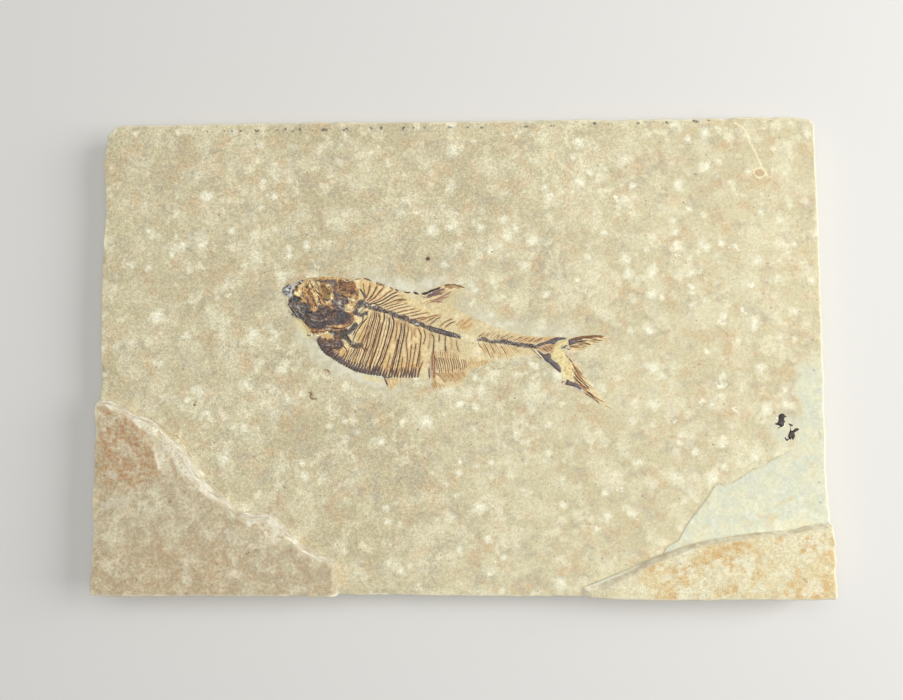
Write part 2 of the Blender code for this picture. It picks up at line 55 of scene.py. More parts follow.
HALF_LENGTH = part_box("stone_slab")[1].x / MM
HALF_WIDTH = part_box("stone_slab")[1].y / MM
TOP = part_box("stone_slab")[1].z / MM
BED = 14.0


# ---------------------------------------------------------------- tables written as words
def traced(text):
    """Points from words of numbers joined by commas."""
    return [tuple(float(number) for number in word.split(",")) for word in text.split()]


def drawn(text):
    """Rows of a colour's name, its numbers and its points."""
    rows = []
    for word in text.split():
        if word[0].isalpha():
            rows.append((word, [], []))
        elif "," in word:
            rows[-1][2].append(tuple(float(number) for number in word.split(",")))
        else:
            rows[-1][1].append(float(word))
    return [(name, *numbers, line) for name, numbers, line in rows]


# ---------------------------------------------------------------- drawn lines of the slab
LOWER_SIDE = traced("""
    -149.8,-98.4 -140.8,-99.2 -122,-98.9 -85.5,-98.7 -62,-98.7 -48.8,-98.9 -48,-98.7 -25,-98.7 -6.8,-98.9
    35,-98.8 52,-98.7 53.6,-98.9 71,-99.2 88.7,-99.2 106,-99 124,-98.6 141.6,-98.6 150,-98.5""")
RIGHT_SIDE = traced("""
    150.9,-97.4 150.9,-92.7 150.3,-88.4 151,-83.4 151,-76 150.4,-70.6 150.6,-68.6 150.7,-64 149.9,-55.5
    149.4,-46 150.1,-31.4 149.6,-21.8 150.1,-12 149.9,0 150.1,10 149.9,30 149.8,60 149.4,78 149.4,92.8""")
UPPER_SIDE = traced("""
    149.4,95.4 147.2,97.9 143.3,98.4 131,99.1 112,98.7 75,98.6 62.5,98.4 56,98.9 18.5,98.8 -25.9,98.7
    -51.5,99.2 -90,98.9 -128.8,98.6 -141.8,98.7""")
LEFT_SIDE = traced("""
    -146,98.1 -149.9,94.4 -150.2,91 -151,80.7 -150.1,70 -149.5,60 -150.4,49.6 -150.4,24 -150,2 -149.4,-11.5
    -149.7,-18.5 -150.1,-20.3 -150.2,-24 -149.3,-31.4 -149.8,-41 -149.6,-54 -150,-60.7 -148.8,-73 -149.4,-85
    -149.9,-94.6""")

# Where the layer left standing at each lower corner meets the bed, and where its top lamina ends
LEFT_FOOT = traced("""
    -149.7,-18.5 -143.7,-18.8 -138.1,-21.1 -134.2,-24.3 -125.1,-27.3 -121.4,-32.3 -113.7,-37.9 -110,-42.2
    -106,-49.2 -100.3,-55.3 -92.7,-61 -89.3,-64.3 -76,-65.9 -71.4,-71.1 -61.8,-78.4 -56.8,-81.2 -48.2,-84.4
    -47.7,-91 -48,-98.7""")
LEFT_STAIN = traced("""
    -150.1,-20.3 -144.6,-21 -140,-23.4 -134,-26.2 -130,-30 -126.5,-33.4 -123.6,-35.6 -123.2,-41 -121.8,-46.6
    -118.6,-46.4 -113.5,-47.6 -111,-50.4 -107.5,-53.6 -103,-56.6 -97,-60.2 -91.5,-64.6 -87.2,-67.6
    -83.8,-69.6 -80.4,-69 -77.6,-73 -74,-76.4 -70.4,-77.6 -66,-77.4 -62.6,-79.8 -57.4,-82.8 -49.4,-86.2
    -48.7,-91.5 -48.9,-98.9""")
RIGHT_FOOT = traced("""
    52,-98.7 51.2,-94.8 57,-93.4 64.7,-90.2 78.9,-83.3 83.3,-81.3 95.8,-76.9 111.1,-74 121.9,-72.4 132.6,-72
    140.2,-70.1 150.6,-68.6""")
LAMINA_EDGE = traced("""
    83.3,-81.3 84.4,-78.6 89.6,-75.6 92.5,-70.2 101.2,-58.8 104.5,-54 111.3,-52.6 119,-47.9 130.8,-41.9
    137,-38.6 142.4,-35 143.6,-27 145,-17 150.1,-12""")
BEYOND = 170.0

# ---------------------------------------------------------------- drawn lines of the fish
BACK = traced("""
    -73.1,26.3 -72.4,27.9 -69.7,29.6 -64.3,31.3 -60.9,32.1 -55,32.4 -48.7,32 -43.6,31.3 -38.6,31.6 -33,30
    -27.3,28 -21,26 -15.4,25.5""")
DORSAL_FIN = traced("""
    -14.3,26 -10.6,27.3 -6.4,28.5 -3.1,29.2 0.7,28.6 4,27.1 2.2,24.6 -0.4,21.6 0.2,18.7""")
REAR_BACK = traced("""
    4,16.6 8.1,14.9 13.1,13.1 18,11.2 24.2,8.9 30.4,7.7 36.6,7.3 45.2,7""")
UPPER_LOBE = traced("""
    48.9,6.9 52.2,7.4 56.5,7.7 60.4,7.6 63.6,6.8 60.7,5.2 56.6,3.4 52.6,1.2 49.4,-1.4""")
LOWER_LOBE = traced("""
    50.2,-4.6 52,-7.7 54.4,-11 56.8,-14.2 59.2,-17.2 61.4,-19.8 63.8,-22.9 60.2,-22 56.5,-20 52.9,-17.8
    49.7,-15.3 46.4,-13.8 43.2,-12.6 43,-9.6""")
TAIL_STALK = traced("""
    41.6,-8.6 38.8,-6.7 36.2,-4.4 33.8,-2.2 31,-0.8""")
ANAL_FIN = traced("""
    28,-1 24,-2.2 19,-3.3 13.5,-4.2 9.7,-5.4 6.2,-7.6 4.2,-10.9 2.6,-14 -0.8,-15.5 -5.2,-15.6 -9.5,-15
    -10.9,-12 -11.8,-8 -12.2,-6.2 -13.8,-6.2""")
BELLY = traced("""
    -15.2,-9.8 -19.2,-10.1 -26.7,-9.7 -31.3,-9.2 -35,-8.8 -39.2,-7.9 -42.1,-7.1 -45.5,-5.4 -48.4,-3.8
    -50.9,-2.1 -53.8,-0.4 -55.7,1.4 -57,3.2 -58,5.2""")
PELVIC_FIN = traced("""
    -21.4,-10.1 -22.4,-11.9 -24.6,-13.6 -26.7,-15.8 -28.4,-13.8 -29.6,-11.6 -30.9,-9.3""")
THROAT = traced("""
    -60.2,6.4 -62.3,7.9 -62.4,9.6 -63.6,11.5 -65.6,13.8 -68.7,16.1 -70.2,18 -71.1,20.6 -71.6,22.9
    -72.4,24.6""")


# ---------------------------------------------------------------- geometry helpers
def smooth_curve(points, spacing):
    """Points about `spacing` apart on a Catmull-Rom curve through the given ones, as an array."""
    knots = np.array(points, float)
    ends = np.vstack([knots[:1], knots, knots[-1:]])
    runs = []
    for a, b, c, d in zip(ends, ends[1:], ends[2:], ends[3:]):
        pieces = max(1, round(float(np.hypot(*(c - b)[:2])) / spacing))
        t = (np.arange(pieces) / pieces)[:, None]
        runs.append(0.5 * (2 * b + (c - a) * t + (2 * a - 5 * b + 4 * c - d) * t ** 2
                           + (3 * b - a - 3 * c + d) * t ** 3))
    return np.vstack(runs + [knots[-1:]])


def straight_curve(points, spacing):
    """Points about `spacing` apart on straight lines between the given ones, without the last."""
    runs = []
    for a, b in zip(np.array(points, float)[:-1], np.array(points, float)[1:]):
        pieces = max(1, round(float(np.hypot(*(b - a))) / spacing))
        runs.append(a + (b - a) * (np.arange(pieces) / pieces)[:, None])
    return np.vstack(runs)


def distance_to(x, y, line):
    """Each point's distance to a line, and the fraction of the line at its nearest place."""
    best = np.full(x.shape, 1e9)
    where = np.zeros(x.shape)
    lengths = np.hypot(*np.diff(line[:, :2], axis=0).T)
    reached = 0.0
    for a, b, length in zip(line[:-1], line[1:], lengths):
        along = ((x - a[0]) * (b[0] - a[0]) + (y - a[1]) * (b[1] - a[1])) / max(1e-9, length ** 2)
        along = np.clip(along, 0.0, 1.0)
        gap = np.hypot(x - a[0] - along * (b[0] - a[0]), y - a[1] - along * (b[1] - a[1]))
        nearer = gap < best
        best[nearer] = gap[nearer]
        where[nearer] = (reached + along[nearer] * length) / lengths.sum()
        reached += length
    return best, where


def within(x, y, outline):
    """Which of the points lie inside a closed outline."""
    found = np.zeros(x.shape, bool)
    for (ax, ay), (bx, by) in zip(outline, np.roll(outline, -1, axis=0)):
        if ay != by:
            crosses = (ay > y) != (by > y)
            found ^= crosses & (x < (bx - ax) * (y - ay) / (by - ay) + ax)
    return found


def depth_inside(x, y, line, outline):
    """Distance to a line, positive inside the outline and negative outside it."""
    return np.where(within(x, y, outline), 1.0, -1.0) * distance_to(x, y, line)[0]


def smooth_step(value, start, end):
    """0 before the start, 1 after the end, and a smooth rise between them."""
    t = np.clip((value - start) / (end - start), 0.0, 1.0)
    return t * t * (3 - 2 * t)


def ripple(x, y, size, seed):
    """Smooth random waves between -1 and 1 with features about `size` across."""
    u = x / size + 17.3 * seed
    v = y / size - 9.1 * seed
    i, j = np.floor(u), np.floor(v)
    s, t = smooth_step(u - i, 0.0, 1.0), smooth_step(v - j, 0.0, 1.0)

    def corner(right, up):
        value = np.sin((i + right) * 127.1 + (j + up) * 311.7 + seed * 74.7) * 43758.5453
        return 2.0 * (value - np.floor(value)) - 1.0

    lower = corner(0, 0) * (1 - s) + corner(1, 0) * s
    upper = corner(0, 1) * (1 - s) + corner(1, 1) * s
    return lower * (1 - t) + upper * t


def scattered(low, high, spacing, rng):
    """A jittered triangular lattice of points over a box, as an array."""
    columns = int((high[0] - low[0]) / spacing) + 1
    rows = int((high[1] - low[1]) / (0.87 * spacing)) + 1
    column, row = np.meshgrid(np.arange(columns), np.arange(rows))
    x = low[0] + (column + 0.5 * (row % 2)) * spacing
    y = low[1] + row * 0.87 * spacing
    points = np.column_stack([x.ravel(), y.ravel()])
    return points + rng.uniform(-0.22, 0.22, points.shape) * spacing


def triangulate(points, edges=()):
    """Triangles over the points that keep the given edges: the points, anticlockwise corners."""
    places, _, faces, sources, _, _ = delaunay_2d_cdt(
        [Vector(point) for point in points.tolist()], list(edges), [], 0, 1e-6, True)
    order = np.array([ids[0] for ids in sources])
    return order, np.array([tuple(face) for face in faces])


def make_mesh(name, points, faces, floats=None, colours=None, smooth=True):
    """A named object from millimetre points and faces, with attributes on its vertices."""
    data = bpy.data.meshes.new(name)
    data.from_pydata((np.asarray(points) * MM).tolist(), [], [list(map(int, face)) for face in faces])
    for key, values in (floats or {}).items():
        data.attributes.new(key, "FLOAT", "POINT").data.foreach_set("value", np.asarray(values, float))
    for key, values in (colours or {}).items():
        attribute = data.attributes.new(key, "FLOAT_COLOR", "POINT")
        attribute.data.foreach_set("color", np.asarray(values, float).ravel())
    data.update()
    if smooth:
        data.shade_smooth()
    piece = bpy.data.objects.new(name, data)
    bpy.context.scene.collection.objects.link(piece)
    return piece


def linear(red, green, blue):
    """A display colour from 0 to 255 as scene-linear values."""
    values = np.array([red, green, blue]) / 255.0
    return np.where(values <= 0.04045, values / 12.92, ((values + 0.055) / 1.055) ** 2.4)


class Paint:
    """Colour, cover and height laid over a set of points, one line or patch after another."""

    def __init__(self, x, y):
        self.x = x
        self.y = y
        self.laid = np.zeros((len(x), 3))
        self.cover = np.zeros(len(x))
        self.rise = np.zeros(len(x))
        self.wobble = 0.6 * ripple(x, y, 1.1, 5) + 0.4 * ripple(x, y, 0.45, 6)

    def lay(self, chosen, amount, colour, rise=0.0):
        """Covers the chosen points with a colour by an amount for each."""
        amount = np.clip(amount, 0.0, 1.0)
        self.laid[chosen] = self.laid[chosen] * (1 - amount[:, None]) + colour * amount[:, None]
        self.cover[chosen] = self.cover[chosen] * (1 - amount) + amount
        self.rise[chosen] = self.rise[chosen] * (1 - amount) + rise * amount

    def near(self, points, margin):
        """Indices of the points in the box around some others."""
        low = np.min(points, axis=0) - margin
        high = np.max(points, axis=0) + margin
        return np.flatnonzero((self.x > low[0]) & (self.x < high[0])
                              & (self.y > low[1]) & (self.y < high[1]))

    def line(self, points, width, colour, strength=1.0, soft=0.3, rise=0.0):
        """A soft-edged line through the points."""
        curve = smooth_curve(points, max(0.4, width / 2))[:, :2]
        chosen = self.near(curve, width + soft)
        gap, _ = distance_to(self.x[chosen], self.y[chosen], curve)
        gap = gap + 0.3 * min(width, 0.8) * self.wobble[chosen]
        self.lay(chosen, strength * (1 - smooth_step(gap, width / 2 - soft / 2, width / 2 + soft / 2)),
                 colour, rise)

    def patch(self, points, colour, strength=1.0, soft=0.6, rise=0.0, wobble=0.35):
        """A soft-edged area inside a smooth closed outline."""
        outline = smooth_curve(list(points) + [points[0]], 0.6)[:-1]
        chosen = self.near(outline, soft)
        closed = np.vstack([outline, outline[:1]])
        depth = depth_inside(self.x[chosen], self.y[chosen], closed, outline)
        depth = depth + wobble * self.wobble[chosen]
        self.lay(chosen, strength * smooth_step(depth, -soft / 2, soft / 2), colour, rise)

    def colour(self):
        """The colour and cover of each point, as scene-linear red, green, blue and alpha."""
        return np.column_stack([self.laid / np.maximum(self.cover, 1e-4)[:, None], self.cover])


# ---------------------------------------------------------------- the stone
# Each lamina of a raised corner: how far it sets back from the foot, and its thickness.
LEFT_LAMINAE = [(0.1, 0.95), (0.7, 0.9), (1.3, 0.85), (2.0, 0.75)]
RIGHT_LAMINAE = [(0.1, 1.1), (0.35, 1.0), (0.75, 0.95), (1.15, 0.6)]
TOP_LAMINA = 0.5
PALE_LAMINA = 0.38
STEP_WIDTH = 0.32

EDGE_SPACING = 0.9
BASE_SPACING = 1.45
FINE_SPACING = 0.42
MARK_SPACING = 0.28
SIDE_LEVELS = 22
SIDE_SET_BACK = 1.1


def layer_depths(x, y):
    """Signed depths into the left layer, its stained top, the right layer and the pale lamina."""
    left_area = np.array([(-BEYOND, LEFT_FOOT[0][1])] + LEFT_FOOT
                         + [(LEFT_FOOT[-1][0], -BEYOND), (-BEYOND, -BEYOND)])
    stain_area = np.array([(-BEYOND, LEFT_STAIN[0][1])] + LEFT_STAIN
                          + [(LEFT_STAIN[-1][0], -BEYOND), (-BEYOND, -BEYOND)])
    right_area = np.array(RIGHT_FOOT + [(BEYOND, RIGHT_FOOT[-1][1]), (BEYOND, -BEYOND),
                                        (RIGHT_FOOT[0][0], -BEYOND)])
    lamina_area = np.array(LAMINA_EDGE + [(BEYOND, LAMINA_EDGE[-1][1]), (BEYOND, -BEYOND),
                                          (RIGHT_FOOT[0][0], -BEYOND), RIGHT_FOOT[1]])
    left = depth_inside(x, y, left_area[:-2], left_area)
    stain = depth_inside(x, y, stain_area[:-2], stain_area)
    right = depth_inside(x, y, right_area[:-2], right_area)
    lamina = depth_inside(x, y, np.array(LAMINA_EDGE), lamina_area)
    return left, stain, right, lamina


def bed_waves(x, y):
    """The gentle unevenness of the bed."""
    return 0.10 * ripple(x, y, 26.0, 1) + 0.035 * ripple(x, y, 7.0, 2)


def raised_layers(x, y, left, stain, right):
    """How far the laminae of both raised corners stand over the bed."""
    rise = np.zeros(x.shape)
    for index, (set_back, thickness) in enumerate(LEFT_LAMINAE):
        jagged = 0.55 * ripple(x, y, 6.0, 20 + index) + 0.3 * ripple(x, y, 1.8, 30 + index)
        rise = rise + thickness * smooth_step(left - set_back - jagged, 0.0, STEP_WIDTH)
    jagged = 0.7 * ripple(x, y, 4.0, 41) + 0.4 * ripple(x, y, 1.4, 42)
    top = smooth_step(stain - 0.4 + jagged, 0.0, STEP_WIDTH) * smooth_step(left, 0.6, 1.6)
    rise = rise + TOP_LAMINA * top
    wedge = 0.3 + 0.7 * smooth_step(x, 50.0, 66.0)
    for index, (set_back, thickness) in enumerate(RIGHT_LAMINAE):
        jagged = 0.30 * ripple(x, y, 7.0, 50 + index) + 0.07 * ripple(x, y, 1.6, 60 + index)
        step = smooth_step(right - (set_back + jagged) * right_spread(x), 0.0, STEP_WIDTH)
        rise = rise + wedge * thickness * step
    return rise


def right_spread(x):
    """How widely the steps of the right layer are set apart."""
    return 0.6 + 0.55 * (1 - smooth_step(x, 60.0, 95.0))


def left_masks(x, y, left, stain, rough):
    """Where the left layer lies, breaks fresh, shows a bare ledge and is rusty."""
    inside = smooth_step(left, 0.2, 0.8)
    near_end = smooth_step(x, -60.0, -50.0)
    broken = inside * (1 - smooth_step(left + 1.1 * rough, 1.5, 2.9)) * (1 - 0.85 * near_end)
    ledge = inside * (1 - smooth_step(stain + 1.2 * rough, -0.5, 1.6)) * (1 - 0.75 * near_end)
    rusty = 1 - smooth_step(x + 124.0 + 7.0 * rough, -3.0, 5.0)
    rusty = rusty * (1 - smooth_step(-y - 52.0 + 9.0 * rough, -4.0, 8.0)) * smooth_step(x, -150.0, -144.0)
    low = smooth_step(-y - 76.0 + 8.0 * rough, -3.0, 8.0) * (1 - smooth_step(x + 92.0, -8.0, 12.0))
    return {"left_layer": inside, "rusty": inside * np.maximum(rusty, 0.35 * low),
            "fresh_break": broken, "into_break": 1.6 * (left + 0.25 * rough), "bare_ledge": ledge}


def pale_strip(x, y, rough):
    """The pale stone beside and around the two dark flakes."""
    strip = smooth_step(x + 5.0 * rough, 135.5, 141.0) * smooth_step(y, -48.0, -38.0)
    strip = strip * (1 - smooth_step(y + 8.0 * rough, -12.0, 2.0))
    around = 1 - smooth_step(np.hypot(x - 133.6, y + 31.0) + 5.0 * rough, 3.0, 8.0)
    return np.maximum(strip, 0.75 * around)


def stone_top(x, y):
    """Height of the slab's upper face before its edges are worn, and masks for its finish."""
    left, stain, right, lamina = layer_depths(x, y)
    rough = 0.5 * ripple(x, y, 5.0, 11) + 0.3 * ripple(x, y, 1.7, 12)
    soft = 0.45 + 7.0 * smooth_step(x, 134.0, 141.0) * (y > -45.0)
    pale = smooth_step(lamina + (0.3 + 0.2 * soft) * rough, 0.45 - soft, soft)
    raised = smooth_step(np.maximum(left, right), 1.0, 4.0)
    height = BED + bed_waves(x, y) + raised_layers(x, y, left, stain, right) + PALE_LAMINA * pale
    height = height + raised * (0.10 * ripple(x, y, 9.0, 71) - 0.05)
    spread = right_spread(x)
    face = smooth_step(right, -0.4, 0.2) * (1 - smooth_step(right, 0.9 * spread, 1.8 * spread))
    strip = pale_strip(x, y, rough)
    masks = left_masks(x, y, left, stain, rough)
    masks["right_layer"] = smooth_step(right, 0.6, 2.2)
    masks["ochre_part"] = smooth_step(x + 0.5 * y + 5.0 * rough, 22.0, 40.0)
    masks["pale_lamina"] = np.maximum(pale * (right < 0.4), strip * (right < -1.0))
    # Painted light: the right layer's steep face is given a paler colour to lift the shade on it.
    masks["painted_light_face"] = face
    return height, masks


def slab_outline():
    """The slab's worn outline: the drawn sides, chipped inwards at two scales, with inward normals."""
    sides = LOWER_SIDE + RIGHT_SIDE + UPPER_SIDE + LEFT_SIDE
    ring = straight_curve(sides + sides[:1], EDGE_SPACING)
    tangent = np.roll(ring, -1, axis=0) - np.roll(ring, 1, axis=0)
    tangent /= np.hypot(*tangent.T)[:, None]
    normal = np.column_stack([-tangent[:, 1], tangent[:, 0]])
    travel = np.arange(len(ring)) * EDGE_SPACING
    zero = np.zeros(len(ring))
    chips = 0.14 * (1 + ripple(travel, zero, 6.0, 81)) + 0.10 * (1 + ripple(travel, zero, 2.1, 82))
    chips += 0.5 * smooth_step(ripple(travel, zero, 9.0, 83), 0.72, 0.95)
    return ring + normal * chips[:, None], normal, travel


def edge_wear(x, y, depth):
    """How far the worn arris drops below the upper face, from the distance to the edge."""
    width = 0.75 + 0.35 * ripple(x, y, 4.0, 91)
    bite = smooth_step(ripple(x, y, 9.0, 92) + 0.4 * ripple(x, y, 2.5, 93), 0.55, 0.95)
    worn = np.clip(1 - depth / width, 0.0, 1.0) ** 1.6 * (0.65 + 0.2 * ripple(x, y, 2.0, 94))
    chipped = np.clip(1 - depth / 2.4, 0.0, 1.0) * 0.9 * bite
    return worn + chipped


def scraped(x, y):
    """Where the rock was scraped pale while the fish was being bared."""
    border = FISH_BORDER
    gap = -depth_inside(x, y, np.vstack([border, border[:1]]), border)
    under_belly = smooth_step(x, -74.0, -62.0) * (1 - smooth_step(x, -34.0, -18.0)) * (y < 20.0)
    behind_head = (1 - smooth_step(np.abs(x + 22.0), 12.0, 26.0)) * (y > 20.0)
    rear_back = (1 - smooth_step(np.abs(x - 26.0), 14.0, 30.0)) * (y > 5.0)
    amount = np.maximum(under_belly, np.maximum(behind_head, 0.8 * rear_back))
    return amount * (1 - smooth_step(gap + 1.4 * ripple(x, y, 5.0, 15), 1.8, 6.8))


def stone_points(ring, normal, marks, rng):
    """Where the upper face has its points: rings along the edge, a base, and fine areas."""
    inner = [ring + normal * inset for inset in (0.28, 0.62, 1.05)]
    low, high = ring.min(0), ring.max(0)

    def lattice(spacing):
        points = scattered(low, high, spacing, rng)
        keep = (np.abs(points[:, 0]) < HALF_LENGTH - 6.0) & (np.abs(points[:, 1]) < HALF_WIDTH - 6.0)
        x, y = points[~keep].T
        keep[~keep] = within(x, y, ring) & (distance_to(x, y, ring)[0] > 1.5)
        return points[keep]

    def fine_areas(points):
        x, y = points.T
        left, stain, right, lamina = layer_depths(x, y)
        near_left = (left > -0.8) & (left < 3.4) | (left > 0) & (np.abs(stain) < 1.6)
        near_right = (right > -0.7) & (right < 3.4 + 1.6 * (x < 92.0))
        return near_left | near_right | (np.abs(lamina) < 0.9) & (right < 0.0)

    def near_marks(points):
        found = np.zeros(len(points), bool)
        for _, width, line in marks:
            curve = np.array(line, float)[:, :2]
            reach = width / 2 + 0.6
            box = np.flatnonzero(((points > curve.min(0) - reach) & (points < curve.max(0) + reach)).all(1))
            if len(curve) == 1:
                found[box] |= np.hypot(*(points[box] - curve[0]).T) < reach
            else:
                found[box] |= distance_to(points[box, 0], points[box, 1], curve)[0] < reach
        return found

    base = lattice(BASE_SPACING)
    base = base[~fine_areas(base) & ~near_marks(base)]
    fine = lattice(FINE_SPACING)
    fine = fine[fine_areas(fine) & ~near_marks(fine)]
    finest = lattice(MARK_SPACING)
    finest = finest[near_marks(finest)]
    return np.vstack([ring] + inner + [base, fine, finest])


def side_wall(ring, normal, travel, tops):
    """Points of the split sides, level by level from the upper edge down, with laminae set back."""
    levels = []
    for level in range(1, SIDE_LEVELS + 1):
        fraction = level / SIDE_LEVELS
        height = tops * (1 - fraction)
        beds = 0.5 + 0.5 * ripple(height, travel / 22.0, 1.25, 101)
        fringe = 0.5 + 0.5 * ripple(height / 0.5, travel / 2.6, 1.0, 102)
        grit = 0.5 + 0.5 * ripple(height / 0.6, travel / 0.9, 1.0, 103)
        inset = 0.62 * beds + 0.28 * fringe + 0.14 * grit
        inset = inset * smooth_step(fraction, -0.02, 0.12) + SIDE_SET_BACK * max(0.0, fraction - 0.82)
        place = ring + normal * inset[:, None]
        levels.append(np.column_stack([place, height]))
    return levels


def stone_plate(marks):
    """The whole slab as one closed mesh."""
    rng = np.random.default_rng(3)
    ring, normal, travel = slab_outline()
    count = len(ring)
    flat = stone_points(ring, normal, marks, rng)
    order, faces = triangulate(flat, [(i, (i + 1) % count) for i in range(count)])
    flat = flat[order]
    place = np.empty(len(order), int)
    place[order] = np.arange(len(order))
    rim = place[np.arange(count)]
    middle = flat[faces].mean(1)
    faces = faces[within(middle[:, 0], middle[:, 1], ring)]

    x, y = flat.T
    height, masks = stone_top(x, y)
    depth = distance_to(x, y, np.vstack([ring, ring[:1]]))[0]
    height = np.minimum(height - edge_wear(x, y, depth), TOP)
    masks["scraped"] = scraped(x, y)
    masks["worn_edge"] = 1 - smooth_step(depth + 0.25 * ripple(x, y, 3.0, 95), 0.35, 1.1)
    paint = Paint(x, y)
    for colour, width, line in marks:
        if len(line) == 1:
            line = [line[0], (line[0][0] + 0.01, line[0][1])]
        paint.line(line, width, colour[0], strength=colour[1], soft=0.35, rise=colour[2])
    height = height + paint.rise * paint.cover
    points = [np.column_stack([flat, height])]

    walls = side_wall(ring, normal, travel, height[rim])
    quads = []
    upper = rim
    start = len(flat)
    for level in walls:
        lower = start + np.arange(count)
        quads += np.column_stack([lower, np.roll(lower, -1), np.roll(upper, -1), upper]).tolist()
        points.append(level)
        upper = lower
        start += count
    under_order, under_faces = triangulate(walls[-1][:, :2],
                                           [(i, (i + 1) % count) for i in range(count)])
    middle = walls[-1][under_order][under_faces][:, :, :2].mean(1)
    under_faces = under_faces[within(middle[:, 0], middle[:, 1], walls[-1][:, :2])]
    under = upper[under_order[under_faces]][:, ::-1]

    total = start
    floats = {key: np.concatenate([values, np.zeros(total - len(flat))]) for key, values in masks.items()}
    side = np.ones(total)
    side[:len(flat)] = 0.0
    floats["broken_side"] = side
    mark = np.vstack([paint.colour(), np.zeros((total - len(flat), 4))])
    slab = make_mesh("stone_plate", np.vstack(points), faces.tolist() + quads + under.tolist(),
                     floats, {"mark": mark})
    return slab


# ---------------------------------------------------------------- the fish's colours and drawn bones
PALETTE = {
    "ink": (60, 53, 55), "slate": (96, 90, 93), "jaw": (84, 83, 82), "plum": (100, 79, 78),
    "umber": (98, 69, 52), "brown": (132, 92, 62), "rust": (156, 100, 64), "tan": (186, 146, 102),
    "amber": (217, 176, 112), "ochre": (204, 166, 112), "straw": (231, 208, 155), "cream": (243, 231, 190),
    "bone": (216, 209, 190), "chalk": (226, 229, 226), "ash": (158, 156, 154), "blue": (178, 184, 196),
    "olive": (152, 124, 82), "pink": (228, 188, 158), "orange": (208, 138, 76), "yellow": (229, 212, 154),
    "mauve": (166, 132, 116), "dusk": (128, 102, 98),
    "white": (246, 243, 220), "murk": (82, 75, 78)}

